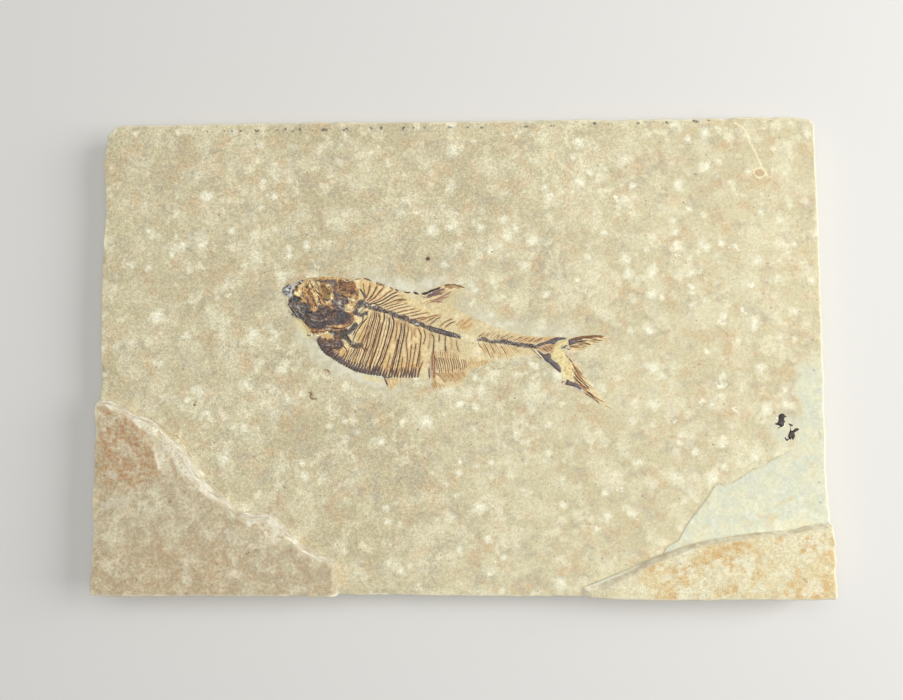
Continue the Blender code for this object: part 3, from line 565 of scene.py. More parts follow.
# Areas of the film: colour, strength, softness, rise, outline
FILM_AREAS = drawn("""
    straw 0.5 2.4 0.05 -42,24 -42,30.8 -38.6,31.4 -33,29.8 -27,27.8 -21,25.8 -15,25.2 -9,22.6 -1,19.4 4,16.6
    13,13 24,8.9 36,7.2 45,6.9 40,4 36,-2.4 31,-1 24,-2 14,-3.6 6,-3 -4,-1.6 -10,-1 -14.5,-4 -20,8 -38,20
    yellow 0.35 2.6 0.02 -10,22 -6,27.6 0,28.4 3.8,26.6 0,21.6 -0.5,18.6 -8,19
    straw 0.95 1 0.1 -42,14 -38,20 -33,19.4 -25,16.9 -18,13.9 -13.6,11.4 -12.9,4 -14,-3 -15.4,-9.5 -21,-9.8
    -30,-9.2 -38,-7.9 -44,-6.2 -49,-3.4 -53.6,-0.5 -56.6,3.4 -50,5 -44,8
    straw 0.9 1.2 0.08 -42.4,20 -42.4,30.4 -38.6,31.3 -33,29.6 -27,27.4 -21,24.8 -14,20 -8,16.6 -14,13.6
    -26,17 -38,21.4
    amber 0.5 2.4 0.1 -42,4.4 -42,8 -39.6,12 -37,14 -35.4,9 -36.6,4 -39,3.6
    amber 0.55 2 0.1 -50,1.6 -46.6,2.4 -44.4,0.6 -43,-3.4 -46,-3.2 -48.6,-1.6
    amber 0.45 2.4 0.1 -36,2 -34,9 -30,12 -26,8 -28,0 -32,-5 -36,-5
    amber 0.6 1.6 0.1 -31.4,-3 -29,-2 -26,-4 -17,-4 -16,-8 -27,-8.6 -30.6,-7
    straw 0.8 1.2 0.05 -15.4,1 -11.2,1.2 -11.3,-6.8 -14.4,-6.8 -15.6,-3
    rust 0.45 1.4 0.1 -25,14.4 -21.4,14.4 -20.6,12 -24.4,12
    amber 0.45 2.2 0.06 -41,22.6 -41.4,30 -36,30 -30,27 -34,22
    amber 0.38 2.6 0.05 2,14.6 6.4,13.2 6.4,9.6 0.6,10.4
    amber 0.18 2.6 0.05 9,6 22,5 32,3 32,0.4 23,-1 12,0
    amber 0.42 1.6 0.06 24,5.6 30,7 37,6.9 44,6.7 40,5.4 31,3.6
    cream 0.7 1.6 0.03 2,8 8.6,7.2 9,5.4 6,5 2,6
    straw 0.6 2.4 0.05 -11.4,0.6 -4,-0.6 4,-1.8 12,-2.6 14.8,-3.4 10,-5.6 5.6,-7.6 3.2,-11.4 0,-14.2
    -5.6,-14.6 -9.6,-14.2 -11.2,-8
    ochre 0.45 1.6 0.06 -7,-6 2.6,-5.6 3.6,-10.6 -0.6,-12.2 -4.6,-9.8
    ochre 0.45 1.6 0.05 3.6,-2.4 9,-2.6 14.4,-3.2 12,-5 7,-6.6 4.2,-6
    mauve 0.6 1.2 0.1 -11.2,-0.2 -9.8,1 -8.6,0.4 -8.2,-4 -8.4,-8.6 -9,-9.6 -11.6,-9.2 -11.6,-4
    tan 0.5 1.2 0.1 -10.6,0.6 -8.8,0.6 -8.6,-8 -8,-12 -8.6,-14.4 -10.2,-14 -10.4,-8
    tan 0.3 1.8 0.08 -7.6,2.8 -1,2 0,-4 -4,-5.4 -7,-2
    straw 0.75 1.6 0.06 -29.8,-9.4 -21.8,-10 -22.6,-11.8 -24.8,-13.4 -26.8,-15.2 -28.2,-13.2
    straw 0.8 1.2 0.06 -14.4,24.8 -9.6,27.4 -6.4,28.8 -3,28.6 0.6,28.2 -4,24 -9,21.6 -14,21.4
    dusk 0.6 0.8 0.05 -13.6,23 -10,23.6 -6.4,25.2 -4.6,26.8 -6.4,26.9 -9.6,25.4 -12.8,24.2
    mauve 0.5 0.9 0.05 -10.6,21.8 -7,21.4 -3.6,23 -4.4,23.8 -8.4,23
    yellow 0.8 0.9 0.05 -9.6,28.2 -6.6,30 -5.2,29.4 -6.2,28.2
    brown 0.6 0.9 0.1 -5.2,28.2 -2.6,29.1 0.8,28.8 3.4,27.4 0.4,27.3 -3.6,27.2
    yellow 0.95 0.8 0.02 40.2,3.4 43,5 45.6,5.6 46.4,3.8 43.2,2.9 42.8,1.4 44.6,0.2 45.6,-2 47.8,-4.8
    47.3,-6.6 48,-8.6 45.6,-9.6 43.8,-10.8 43.4,-8.8 43,-5.6 41.6,-3.8 39.6,-2.4 39.4,1
    straw 0.75 1.2 0.05 45.4,5.8 49,6.8 56,7.4 62.6,6.6 57.4,4 52,1.6 48,1 45.6,2.2
    straw 0.7 1.2 0.05 45,-0.6 49.6,-4.8 54,-10.6 59,-17.4 62.6,-22.2 58,-19.8 52.6,-16.2 46.4,-13.4
    44.6,-10.8 47,-8
    rust 0.65 1 0.1 32.4,2.4 36.6,3.6 40.6,4 40,1 37.4,0.2 34.6,1.4
    tan 0.6 1 0.1 34.6,4.4 36.4,6.8 40.2,6.9 39,5""")

# Areas of the head, from the skull's ground colour up
HEAD_AREAS = drawn("""
    tan 1 0.7 0.15 -68.4,24.2 -67.6,27 -66,29.4 -63.4,31 -60.8,31.9 -55,32.3 -48.6,31.9 -43.6,31.1 -41,27
    -41,20 -42,16 -42.4,12 -44,10 -52,9 -60.4,8.2 -62,10.2 -64.4,13.6 -67.6,16.4 -69.6,19.2 -70.6,21.6
    yellow 0.85 1 0.05 -66.8,14.8 -65,14.2 -62,11 -60.4,8.8 -61.6,8.4 -63.6,9.8 -65.4,12.2
    blue 0.8 0.6 0.25 -72.9,28.2 -71.8,28.8 -70.4,29.6 -69.2,28.8 -68.4,27.4 -68.6,25.6 -69.6,24.4
    -71.2,24.4 -72.4,25.4 -73,26.8
    straw 0.95 0.6 0.2 -67.8,25.8 -66.4,27.6 -65.6,29.2 -63.6,30.7 -62.6,31.2 -63.2,29 -63.8,27 -64.8,25.4
    -65.8,24 -67.4,24.6
    straw 0.95 0.6 0.2 -61.4,31.6 -58.8,31.6 -57.4,30 -56.4,28.6 -57.2,26 -57.8,24 -56.6,21.4 -57.6,20.2
    -58.8,22.4 -60.2,25.6 -61.6,28
    amber 0.85 0.5 0.2 -65,27.6 -63.4,27.4 -62.6,25.2 -62.6,22.8 -62.9,21.2 -64.2,22.6 -64.6,24.8
    olive 0.95 0.7 0.1 -57.8,29 -56.4,29.5 -54.4,29.2 -52.8,27.4 -52.2,25.2 -52.8,23.8 -54.6,23.4 -56.8,24
    -57.8,26.2
    straw 0.9 0.5 0.22 -54.4,29 -53,28.8 -51.8,27 -51.3,25 -51.8,23 -53.4,20.6 -54.2,20.6 -54,21.8
    -52.6,23.2 -52.4,24.8 -52.6,26.6
    amber 0.95 0.5 0.25 -58.4,32.2 -55,32.4 -51,32.3 -48.4,31.9 -47.6,30.8 -50,31.1 -54,31.3 -57.6,31.5
    slate 0.92 0.6 0.3 -57.6,31 -54,31 -50.2,30.9 -49.5,29 -49.5,26.4 -48.2,24.4 -49.4,23.6 -51.2,24.2
    -51.3,26.4 -51.8,28.2 -53.6,29.6 -56.2,30.2
    brown 0.95 0.7 0.2 -49.6,31.2 -46.8,31 -43.4,30.8 -42.2,28.6 -42,26 -42.8,24.8 -45.2,25 -47.2,25.2
    -49.4,26
    plum 0.7 1.2 0.25 -49.2,29.4 -47,29.2 -44,28 -42.6,26.4 -43.2,25.2 -46.4,26.4 -49.2,27
    ochre 0.9 0.5 0.15 -44.8,24.6 -42,24.8 -41.2,22.8 -42.4,21.6 -44.4,22.8
    straw 0.9 0.5 0.2 -46.6,20.4 -44.4,21.6 -42.7,20.6 -42.8,18.4 -44.6,17.3 -46.4,17.5
    cream 0.9 0.4 0.2 -47.2,23.2 -45.8,23.5 -45.6,22.5 -46.8,22.3
    cream 0.9 0.4 0.2 -44.9,24.8 -43.6,24 -42.6,22.3 -43.4,22 -44.6,23.4
    slate 0.9 0.6 0.3 -48.6,25 -46.6,24.4 -45.2,23.2 -45,21.4 -46.2,20.8 -47.6,22.2 -49.6,23.4 -51.2,23.2
    -52,21.4 -51.4,18.4 -49,17.8 -46.7,18 -46.8,20.2 -48,23.6
    jaw 0.97 0.5 0.35 -69.9,22.6 -68.4,24 -66.2,23.4 -64.8,22.2 -64,20.6 -62.6,20.2 -61.6,18 -60.2,17.4
    -60.2,15 -62.4,13.6 -64.4,14.2 -66.2,15.4 -68,16.8 -69.4,19 -70.6,21.2
    murk 0.95 0.6 0.3 -64.6,21.8 -62.9,21.4 -61.4,21.6 -60.4,18.4 -59.2,17.6 -57.8,19.6 -56.2,20.2 -53.6,20
    -51.6,18.6 -49.6,18 -48.6,15.4 -50.6,12.6 -52.6,11.4 -55,10.6 -58,10.2 -60.2,10.8 -62.4,12.6 -63.4,14.6
    -63,17.6
    slate 0.97 0.5 0.4 -49.9,17.9 -47.4,18.4 -45.8,17.4 -44.2,16.4 -43.4,14.4 -44,12.6 -46,12.4 -48.4,12
    -51.4,12 -51,14.2
    jaw 0.8 0.8 0.3 -62.8,13.4 -59.6,14.4 -55,13.8 -54.4,12 -56.6,11 -60.6,11.6
    brown 0.85 0.6 0.35 -45.4,17.2 -43.4,16.9 -42.7,15 -43,12.8 -44.4,11 -45.4,11.6 -44.2,13 -43.9,15
    amber 0.9 0.4 0.25 -60.4,20.4 -59.4,20 -58.2,19.2 -58.6,18.4 -59.6,18 -60.2,18.8
    straw 0.9 0.5 0.15 -42.6,16 -41.2,15.6 -40.4,13.6 -41,12.6 -42.2,13.6
    cream 0.9 0.5 0.2 -60.6,8.5 -58,8.6 -55.4,8.9 -53.6,9.7 -53.2,8.8 -55,8 -57.6,7.5 -60,7.4
    amber 0.9 0.6 0.15 -57.4,7.9 -54.4,8.6 -52.6,8 -50.8,6.8 -52.4,6.2 -55,6.8
    plum 0.97 0.6 0.3 -58.3,6.7 -56.2,6.9 -53.6,6.3 -51,6.6 -48.4,7.4 -47,6.4 -46.8,3.6 -48.8,2 -51.4,1.4
    -51.8,-0.8 -53.6,-0.9 -55.4,0.4 -57,2.8 -58,5
    brown 0.7 1 0.3 -51.4,7.8 -48,7.6 -47.4,5.8 -50.2,5.6
    slate 0.75 0.9 0.3 -51.4,4.4 -48.6,5.2 -46.8,4.4 -47.2,2.6 -50.4,2
    jaw 0.92 0.8 0.35 -52.6,9.5 -48,9.9 -44.5,10.6 -42.6,12 -43.2,9.6 -44.8,7 -46.6,6 -49.4,7.2 -51.8,8.5
    jaw 0.97 0.5 0.45 -53.2,10.3 -50.6,10.1 -48.4,9.9 -46,10.2 -44.2,11 -42.6,12.2 -41.5,13.3 -40.8,12
    -42.2,10.2 -43.6,8.8 -45,7.2 -44.4,6 -43.2,5.2 -41.4,4.6 -39.2,4.4 -38.8,3.4 -41,2.6 -43.2,2.8 -44.8,4.2
    -46.2,5.6 -48.4,7.8 -50.8,8.6 -53.2,9.3
    slate 0.97 0.5 0.45 -42.6,18.2 -41.4,20 -41.2,21.6 -39.8,22.9 -38.2,23 -38.2,21.2 -39,20 -40.2,19.2
    -41,18 -40,16.8 -38.4,17.6 -37,17.4 -37.2,16.2 -38.6,15.4 -40.6,15.4 -41.8,16.2 -43.4,17.2
    cream 0.9 0.4 0.25 -40.8,18.9 -39.6,18.9 -39.2,17.8 -40.4,17.3
    slate 0.92 0.5 0.35 -38.2,22 -35.4,20.6 -33.4,20.1 -30,18.9 -26,17.4 -22.4,16.2 -20.4,15.6 -19.2,14.6
    -16,13.8 -13.6,12.7 -9,11 -3,9.1 0.6,8.2 1.8,7 0.4,6.4 -3,7.2 -9,9.1 -13.6,10.8 -17,12 -20.4,13.4
    -24,14.6 -27.6,16.4 -30.6,17.2 -34.6,18.3 -38.4,19.8
    slate 0.88 0.5 0.3 8.2,5.8 9.8,6.4 11.6,7 12.4,6.2 13.8,5.3 17,5.6 20,5.8 22,5.3 26,4.6 30,4.1 33.6,3.4
    33,2 30,2.4 26,2.8 22,3.3 19,4.1 15,4.3 12,4.9 9.4,5.1
    plum 0.7 1 0.15 -57.6,4.6 -55.6,1.2 -53.4,-0.4 -50.6,-2.2 -47.6,-4.2 -45,-5.6 -42,-6.9 -37,-8 -32,-8.8
    -32,-7.6 -37,-6.6 -42,-5.2 -45.4,-3.4 -48.6,-1 -51,0.8 -54.8,3.2""")

# Smooth dark bone over the broken parts of the head
CALM_AREAS = drawn("""
    murk 0.55 1.6 0.38 -50.6,13.2 -50.2,16.6 -48,17.8 -45.8,17 -44.6,15.2 -44.8,13.4 -46.8,12.6
    murk 0.45 1.6 0.35 -63,13.2 -60.2,13.4 -56,13 -52,12.9 -53,11.4 -57,10.7 -61,11.5
    umber 0.5 1.8 0.28 -49.6,30.6 -46.4,30.2 -44.6,28.2 -46,26.2 -49.4,26.4""")

# Soft lines in the head: colour, width, points
# The first blue line, along the top edge of the snout, is a painted highlight.
HEAD_LINES = drawn("""
    blue 0.7 -69.2,28.6 -67.6,29.2 -66,30.2 -64.8,31.1  ash 0.5 -72,27.8 -71.2,26.8 -70.8,25.2
    ash 0.35 -69.6,23.9 -68.5,22.8 -68.6,21.4  slate 0.35 -69,23.9 -67.9,22.6 -68.2,21.2
    ash 0.5 -66.2,20.2 -65.4,20.7  blue 0.7 -67.2,16.7 -65.8,15.7  ash 0.6 -70,17.9 -70.4,16.9
    brown 0.45 -64.4,28 -64.2,26 -64,24.6  brown 0.35 -63.4,27.2 -63.2,25.2 -63,23.2
    amber 0.7 -62.2,29.6 -61.2,27.4 -60.2,25.2 -59,22.8 -58,20.6
    rust 0.5 -62.2,26.4 -61.2,24.9 -60.6,23.2 -60.2,21.4 -60,19.8
    orange 0.45 -61,24.2 -60.5,22.4 -60.2,20.8  plum 0.9 -62.4,23.6 -61.8,21.8 -61.4,20.2
    brown 0.35 -57.2,30.8 -56.2,30 -55.2,29.6  brown 0.4 -55.2,26.6 -54.4,25.6 -53.6,25
    tan 0.5 -57.2,27.8 -56.8,26.2 -56,25  brown 0.35 -53.2,28.4 -52.3,27 -52,25.8
    amber 0.5 -50,31.2 -49.6,29.8 -49.2,28.6  cream 0.55 -47.4,31.3 -46.6,30.6
    cream 0.55 -46,30 -45,30.8 -44.2,30.7  amber 0.45 -48.2,28.4 -46.6,27.8 -45.2,28.2
    tan 0.45 -46.6,29 -44.8,28.6 -43.2,28.8  amber 0.4 -48.4,26.2 -46.8,25.8 -45.4,26.2
    brown 0.35 -47,24.9 -45.2,25.4 -43.6,24.9  ash 0.5 -51,22.2 -50.4,21.4  brown 0.5 -51.4,20.6 -50.8,19.6
    ash 0.8 -48.8,19.6 -47.9,19.2  brown 0.4 -54.4,19 -53.4,19.6 -52.4,19 -51.8,18
    umber 0.4 -54.6,18.2 -53.6,17.6 -52.2,17.4  brown 0.3 -57.4,18.4 -56.6,17.6 -55.6,17.4
    brown 0.35 -53.6,15.4 -52,16.2 -50.4,17.4  brown 0.3 -51.8,12.8 -51,14.4 -50.2,16.2
    umber 0.4 -62.8,16.6 -61.6,15.4 -60,14.8  ash 0.25 -62,16.8 -60.6,16.4  ash 0.2 -64.6,17.6 -63.4,18.2
    umber 0.35 -57.6,12.2 -55.6,12.4 -54.2,13  rust 0.45 -47.8,12.3 -46,12.7 -44.9,13.9
    amber 0.38 -54,11.6 -51.4,11.5 -48.6,11.5 -46.8,11.7 -45.8,12.6  pink 0.4 -54.4,11.7 -52.4,11.7
    cream 0.45 -45.4,10.8 -43.8,11.8 -42.8,13.2  rust 0.5 -60.4,10.7 -57.6,10 -56,10.4
    tan 0.4 -60.2,10.1 -58.8,10.2 -57.4,9.6  umber 0.5 -60.6,9.4 -58,9.5 -55.6,9.2 -53.8,9.8
    bone 0.4 -54.6,10.3 -52.8,10.4  bone 0.45 -50.9,9.9 -50.2,10  cream 0.9 -44.6,7.5 -43,8.6 -41.9,9.6
    cream 0.8 -47.4,5.8 -46.4,5.4  rust 0.5 -51.6,1 -49.8,1.6 -48,2.2  ash 0.3 -56.6,4.2 -54.6,3.6 -52.4,3.8
    brown 0.4 -56,5.9 -53.2,5.2 -50.4,5.6""")

# Spots in the head: colour, width, place
HEAD_SPOTS = drawn("""
    ink 1.2 -72.5,27.6  ink 1 -72.2,26.2  umber 0.8 -70.2,29.3  slate 0.8 -72.2,29.2  ink 1 -69.9,25.8  ink
    0.8 -69.8,27.6  ink 0.8 -70.8,28.5  ink 0.75 -71.2,25  chalk 0.9 -71.2,27.2  chalk 0.8 -70.4,26.7  chalk
    0.7 -69.2,26.6  ink 0.7 -71.3,26.2  ink 1.5 -66.9,28.2  brown 1.5 -66.8,26.9  ink 1.1 -65.5,29.6  ink
    0.8 -64.5,30.9  ink 1.1 -62.4,28.1  slate 0.7 -62.7,29.4  umber 0.8 -63.8,24.2  umber 0.5 -64.3,25.7
    orange 0.6 -58.9,18.5  cream 0.6 -58.9,19.4  umber 0.9 -56.2,28  umber 1.2 -53.2,25.2  umber 0.6
    -56.2,24.5  umber 0.6 -55.9,32.3  brown 0.6 -59.4,31.9  plum 1.3 -43.4,26  umber 0.6 -46.6,30.1  umber
    0.7 -44.1,23.7  ash 1.9 -48.9,21.2  bone 1 -48.8,21.2  umber 0.6 -43.6,21.4  bone 0.7 -59.3,14.2  bone
    0.6 -56.3,14  bone 0.8 -54.4,14.5  bone 0.5 -60.3,14.5  ink 0.8 -68.4,16.5  bone 0.8 -37.3,20.3  cream
    0.7 -35.1,20.2  bone 0.4 -40.9,20.2  cream 0.6 -51.4,22.8  rust 0.5 -44.6,29.6""")

# Raised bones of the head: colour, width, points
SKULL_BONES = drawn("""
    ink 0.75 -68,27.4 -68.4,26.2 -68.5,24.8  ink 0.6 -68.4,24.9 -67.4,24.2 -66,23.7 -65.2,23.2 -64.5,22.5
    slate 0.4 -65.9,29.3 -66.7,28.7 -67.6,28.1  brown 0.4 -61.5,31.2 -61,29.8 -60.2,28.4 -59.2,27.2
    umber 0.5 -59,26.9 -58.3,26 -57.4,25.2 -56.7,24.5  umber 0.5 -58,24.6 -57.3,23 -56.7,21.4 -56.2,20.2
    slate 0.6 -60.2,23.6 -59.5,22.2 -58.8,21 -58,19.6
    umber 0.5 -56.6,28.9 -55.6,28.4 -54.6,27.4 -53.8,26.2 -53.3,25.4
    slate 0.7 -56.1,23.2 -54.8,22.8 -53.6,22.7 -52.6,23  umber 0.4 -56.2,22.8 -55.2,21.9 -54.4,20.7
    umber 0.4 -61.8,30.4 -61.9,29.2 -62.3,28.4  umber 0.4 -58.6,31.2 -56.9,30.5 -55.4,30.6
    umber 0.4 -46.9,30.3 -45.4,29.9 -43.4,30.2  plum 0.5 -49,28.6 -47.2,28.7 -45.6,27.4
    slate 0.6 -50.6,24 -49.4,22.9 -47.6,22.8 -46.8,21.6 -47.2,20.2
    slate 0.6 -50.6,22.4 -50.5,20.8 -49.6,19.8  ink 0.5 -48.4,24.6 -47,24.2 -45.8,23.2 -45.3,22 -45.8,20.9
    ink 0.4 -70.3,21.4 -69.4,19.2 -67.8,17.2 -66.4,15.6 -64.8,14.5
    ink 0.35 -64.8,14.5 -62.9,12.8 -61.2,11.2 -60.3,10.4  umber 0.35 -63.6,16.6 -61.9,15 -60.4,14.9
    ink 0.35 -60,13.6 -57.6,13.1 -55.2,13.2 -53.6,14.2  slate 0.4 -60,17.2 -58.6,16.2 -56.6,15.8 -54.6,16.2
    ink 0.4 -52.8,11 -50.6,10.7 -48.6,10.6 -46.8,11 -46,11.6  umber 0.4 -60.6,8.9 -59,9 -57.2,9.5
    slate 0.4 -62.8,8 -61.8,7.7 -60.4,8  umber 0.45 -51.4,18.6 -50.2,18.1 -48.8,18.2
    ink 0.4 -36.9,15.6 -38.6,13.4 -40.4,11 -41.8,8.6 -42.8,6.4 -43.2,5
    slate 0.35 -38.7,14.9 -39.4,13.2 -41,11.6 -42.2,9.4 -43.2,7.4  bone 0.35 -41,10.9 -41.7,9.7 -42.3,8.4
    slate 0.7 -38.8,15.8 -38.9,14.9 -39.1,14  slate 0.75 -40.4,27.3 -39.3,25.8 -38.3,24.3 -38,22.8
    brown 0.35 -38.9,30 -38.7,27.4 -38.1,25.2  brown 0.35 -37.6,12.5 -39.6,8.2 -41.2,4.9
    umber 0.35 -36.4,12.2 -38.2,8 -39.8,4.8  brown 0.35 -35.4,11.4 -37,7.6 -38.2,4.6
    ink 0.5 -46.6,8.8 -45.4,7.4 -44.4,5.8 -43.2,4.4  ink 0.4 -48.6,4 -46.8,3 -45.6,1.4 -46,0.4
    umber 0.45 -44.6,2.8 -43,3.4 -41.2,3.8  umber 0.45 -39.8,3.6 -38.8,2.4 -37.8,1 -38.4,0.6
    umber 0.5 -36.4,2.6 -37.4,1.8 -36.8,1""")

RIBS = drawn("""
    brown 0.4 -48.6,1.6 -49.4,0.2 -50,-1.2  umber 0.5 -46.2,0.6 -47.4,-1.6 -48.6,-3.2
    umber 0.5 -44.6,2.2 -45.2,0.4 -46.2,-1.8 -47,-3.8  umber 0.5 -41.8,3 -43,0.6 -44.6,-2 -45.2,-4.6
    brown 0.5 -40.6,3.2 -41.4,1 -42.8,-1.8 -43.8,-4.2 -44.2,-6
    brown 0.45 -35.4,16.8 -36.4,13.4 -37.4,10 -38.4,6.6 -39.8,3 -41,-0.4 -42.4,-4 -42.8,-6.4
    umber 0.55 -34.2,18 -34.2,15.4 -35.2,12.4 -36.2,9 -37,5.4 -38.2,1.2 -39.8,-3 -41.2,-6.8
    brown 0.5 -33.2,17.8 -33.3,15.2 -34.2,12 -35,8.6 -35.8,4.8 -37.4,0.6 -38.8,-3.4 -39.8,-7
    umber 0.6 -32.4,17.2 -31.9,15 -32.5,12 -33.6,8 -34.6,3.8 -36.2,-0.6 -37.6,-4.4 -38.4,-7.2
    brown 0.4 -31.4,12.6 -32.4,9.6 -33.4,6.4 -34.6,2 -35.4,-2 -36.6,-6.4
    umber 0.6 -30,17.2 -30,14.6 -30.8,11.8 -31.5,8.8 -32.6,4.4 -34,0 -35.4,-4 -36.4,-7.2
    umber 0.65 -28,15.4 -27.9,12.6 -28.4,9.8 -29.2,6.8 -30.2,3 -31.6,-1.4 -33.2,-5 -34.6,-7.8
    umber 0.65 -27,15.8 -26.1,13.8 -26.2,11.2 -26.9,8.4 -27.8,5.4 -29.2,1 -30.6,-3 -32.2,-6 -33,-7.8
    brown 0.45 -27.6,-0.6 -28.2,-3.4 -29,-6.4  brown 0.55 -24.8,13.2 -24.7,10.6 -25,8 -25.6,5.4
    brown 0.5 -24.2,6.4 -24.8,3.4 -25.8,0 -26.8,-4 -28,-8.4
    umber 0.65 -22.9,13 -23,10 -23.6,7 -24.2,4 -25,0 -26.2,-4.4 -26.9,-8.6
    umber 0.65 -21.4,13.2 -21.6,10.8 -21.7,8.6 -22.2,6 -22.9,3 -23.5,-1 -24.5,-5.4 -25.2,-9
    brown 0.5 -22.2,-1.2 -22.6,-4 -23,-8.6
    brown 0.5 -20.1,11.8 -20,10 -20.3,8.2 -20.8,5.6 -20.6,2.4 -20.3,-1 -20.6,-4.4 -21.4,-9.2
    tan 0.45 -18.8,10.8 -18.5,8.4 -18.8,6  brown 0.5 -18.5,4.2 -18.9,1.4 -19.2,-1.6 -19.8,-5 -19.9,-9
    tan 0.4 -17,11 -17.4,9 -17,7  brown 0.5 -16.9,4.4 -17.2,1.4 -17.8,-2 -18.4,-6 -18.7,-9.2
    umber 0.5 -16,10.8 -14.8,8.2 -14.9,5 -15.4,1 -16.2,-3 -16.9,-6.6 -17.3,-9
    umber 0.45 -14,-3.2 -14.9,-5.6 -15.8,-8.6  brown 0.45 -15,1 -15.4,-2.6 -15.8,-5.6""")

HAEMAL_BONES = drawn("""
    umber 0.45 -13.6,10.2 -12.9,7.6 -13.3,5.2 -13.9,3.8  tan 0.4 -11.4,8.4 -10.8,6.6 -11.1,4.4 -11.8,2
    umber 0.5 -10.5,8.4 -9.4,6.8 -9.4,4 -9.6,1.6 -9.7,-0.6  umber 0.45 -7.1,8 -7.1,6.4 -7.2,4.8
    umber 0.5 -4.6,7.6 -4.7,5.2 -4.6,2.8 -4.2,0.4  brown 0.35 0,5.4 0.2,3.2 1.2,0.6
    tan 0.3 -2.2,6.8 -2,4 -1.8,2.2""")

NEURAL_SPINES = drawn("""
    brown 0.55 -36,29.4 -36.4,27 -37.1,24.6 -38,22.9
    brown 0.55 -32.9,28.7 -33.8,26.8 -35,24.6 -36.6,22.8 -37.8,22.1
    brown 0.5 -30.3,27.9 -32,26 -33.9,23.8 -35.6,22.5 -37.4,21.5
    rust 0.5 -26.7,26.6 -28.6,25.4 -30.8,23.7 -33,22.5 -35.8,21.2
    umber 0.5 -24.3,26 -26.4,25.1 -28.6,23.8 -31,22.4 -33.8,21.3 -36.6,20.5
    umber 0.45 -24.1,24.6 -26.2,23.8 -28.6,22.4 -31.2,20.9 -33.8,20.2
    brown 0.4 -22.4,22.9 -24.6,22.6 -26.8,21.7 -29,20.9 -31.4,20  umber 0.4 -20.8,22.6 -22.8,22.4 -24.8,21.8
    brown 0.35 -23.4,21.1 -25.6,20.7 -28,20 -30,19.2
    brown 0.35 -20.6,20.9 -23,20.4 -25.4,19.8 -27.6,19.1 -29.4,18.4
    brown 0.35 -19.2,20 -22,19.5 -24.6,18.8 -27.4,17.9  brown 0.35 -17,18.8 -19.6,18.3 -22.4,17.7 -25.2,16.9
    brown 0.35 -15.2,17.9 -18.2,17.2 -21,16.5 -23.4,16
    brown 0.4 -11.8,17.1 -14.4,16.8 -17.2,16.2 -19.8,15.7
    brown 0.35 -12.6,15.2 -15.2,14.9 -17.6,14.4 -19.6,14.3
    brown 0.35 -7,16.1 -9.4,15.8 -11.4,15.2 -13.6,14.4 -15.4,13.9
    umber 0.35 -8.8,15.3 -10.6,14.4 -12.6,13.2  umber 0.35 -6.5,15.3 -8.2,14.4 -9.8,13 -11,12
    brown 0.35 -1.6,14.5 -3.6,13.7 -5.4,12.6 -6.8,11.2  umber 0.35 -0.4,13.4 -2.2,12.8 -3.6,11.9 -4.7,10.9
    ochre 0.35 5.8,14.4 3.8,12.8 1.4,11.2  ochre 0.35 2.6,13.8 1.2,12.8 0,12
    ochre 0.35 6.4,12.2 4.6,11.2 3,10.6""")

REAR_BONES = drawn("""
    brown 0.4 8.8,6.6 10,7.6 10.8,8.2  brown 0.4 12,7 13.2,8.2 13.8,8.6  ochre 0.35 14,6.6 15.2,7.8 16,8.8
    brown 0.35 16.2,6.2 17.4,7.4 18.2,7.9  umber 0.35 17.6,5.6 19.6,7 22.6,8.5
    brown 0.35 20.2,5.5 21.8,6.5 23.6,7.3  brown 0.35 23.2,5 25.2,6 27.6,7
    brown 0.35 25.8,4.7 28,5.8 30.4,6.8  ochre 0.35 28,5 29.6,5.9 31.2,6.9
    brown 0.35 29.4,4.6 31.4,5.8 33,6.6  brown 0.35 31.4,4.3 33.4,5.7 34.8,6.6
    umber 0.35 33,4.6 34.6,5.8 36,6.8  brown 0.35 9,5 9.5,3.4 10.4,2
    umber 0.35 11,4.6 11.9,3 12.9,1.2 13.6,-0.4 14.6,-2  brown 0.35 13.5,4.4 14.6,2.6 15.6,0.8 16,0
    ochre 0.3 14.1,0.4 14.9,-1.2 15.8,-2.7  brown 0.3 15.6,4.2 16.4,3.2 17,2.8
    brown 0.35 18.1,3.6 19.2,2 20.2,0.4 21,-0.8  ochre 0.3 20.2,3.2 21,1.8 21.8,0.8
    ochre 0.3 21,0.8 22,-0.6 22.8,-1.8  ochre 0.3 17.4,0.8 18.2,-0.6 18.4,-2
    umber 0.35 30.4,2.4 31.8,1.2 33.4,-0.4 35.6,-2.5  chalk 0.25 31.9,1.7 33.4,0.2 35.2,-1.6
    brown 0.3 32.8,-1 34,-2 35,-2.8  umber 0.4 35.4,2.6 36.6,1.4 38.2,0.7
    brown 0.35 36.8,2.8 38.2,1.6 39.2,1.2  brown 0.35 38.2,3.2 39.2,2 40,1.6  umber 0.5 6.5,4.6 7.1,4.2
    umber 0.5 27.9,7.1 28.3,6.9""")

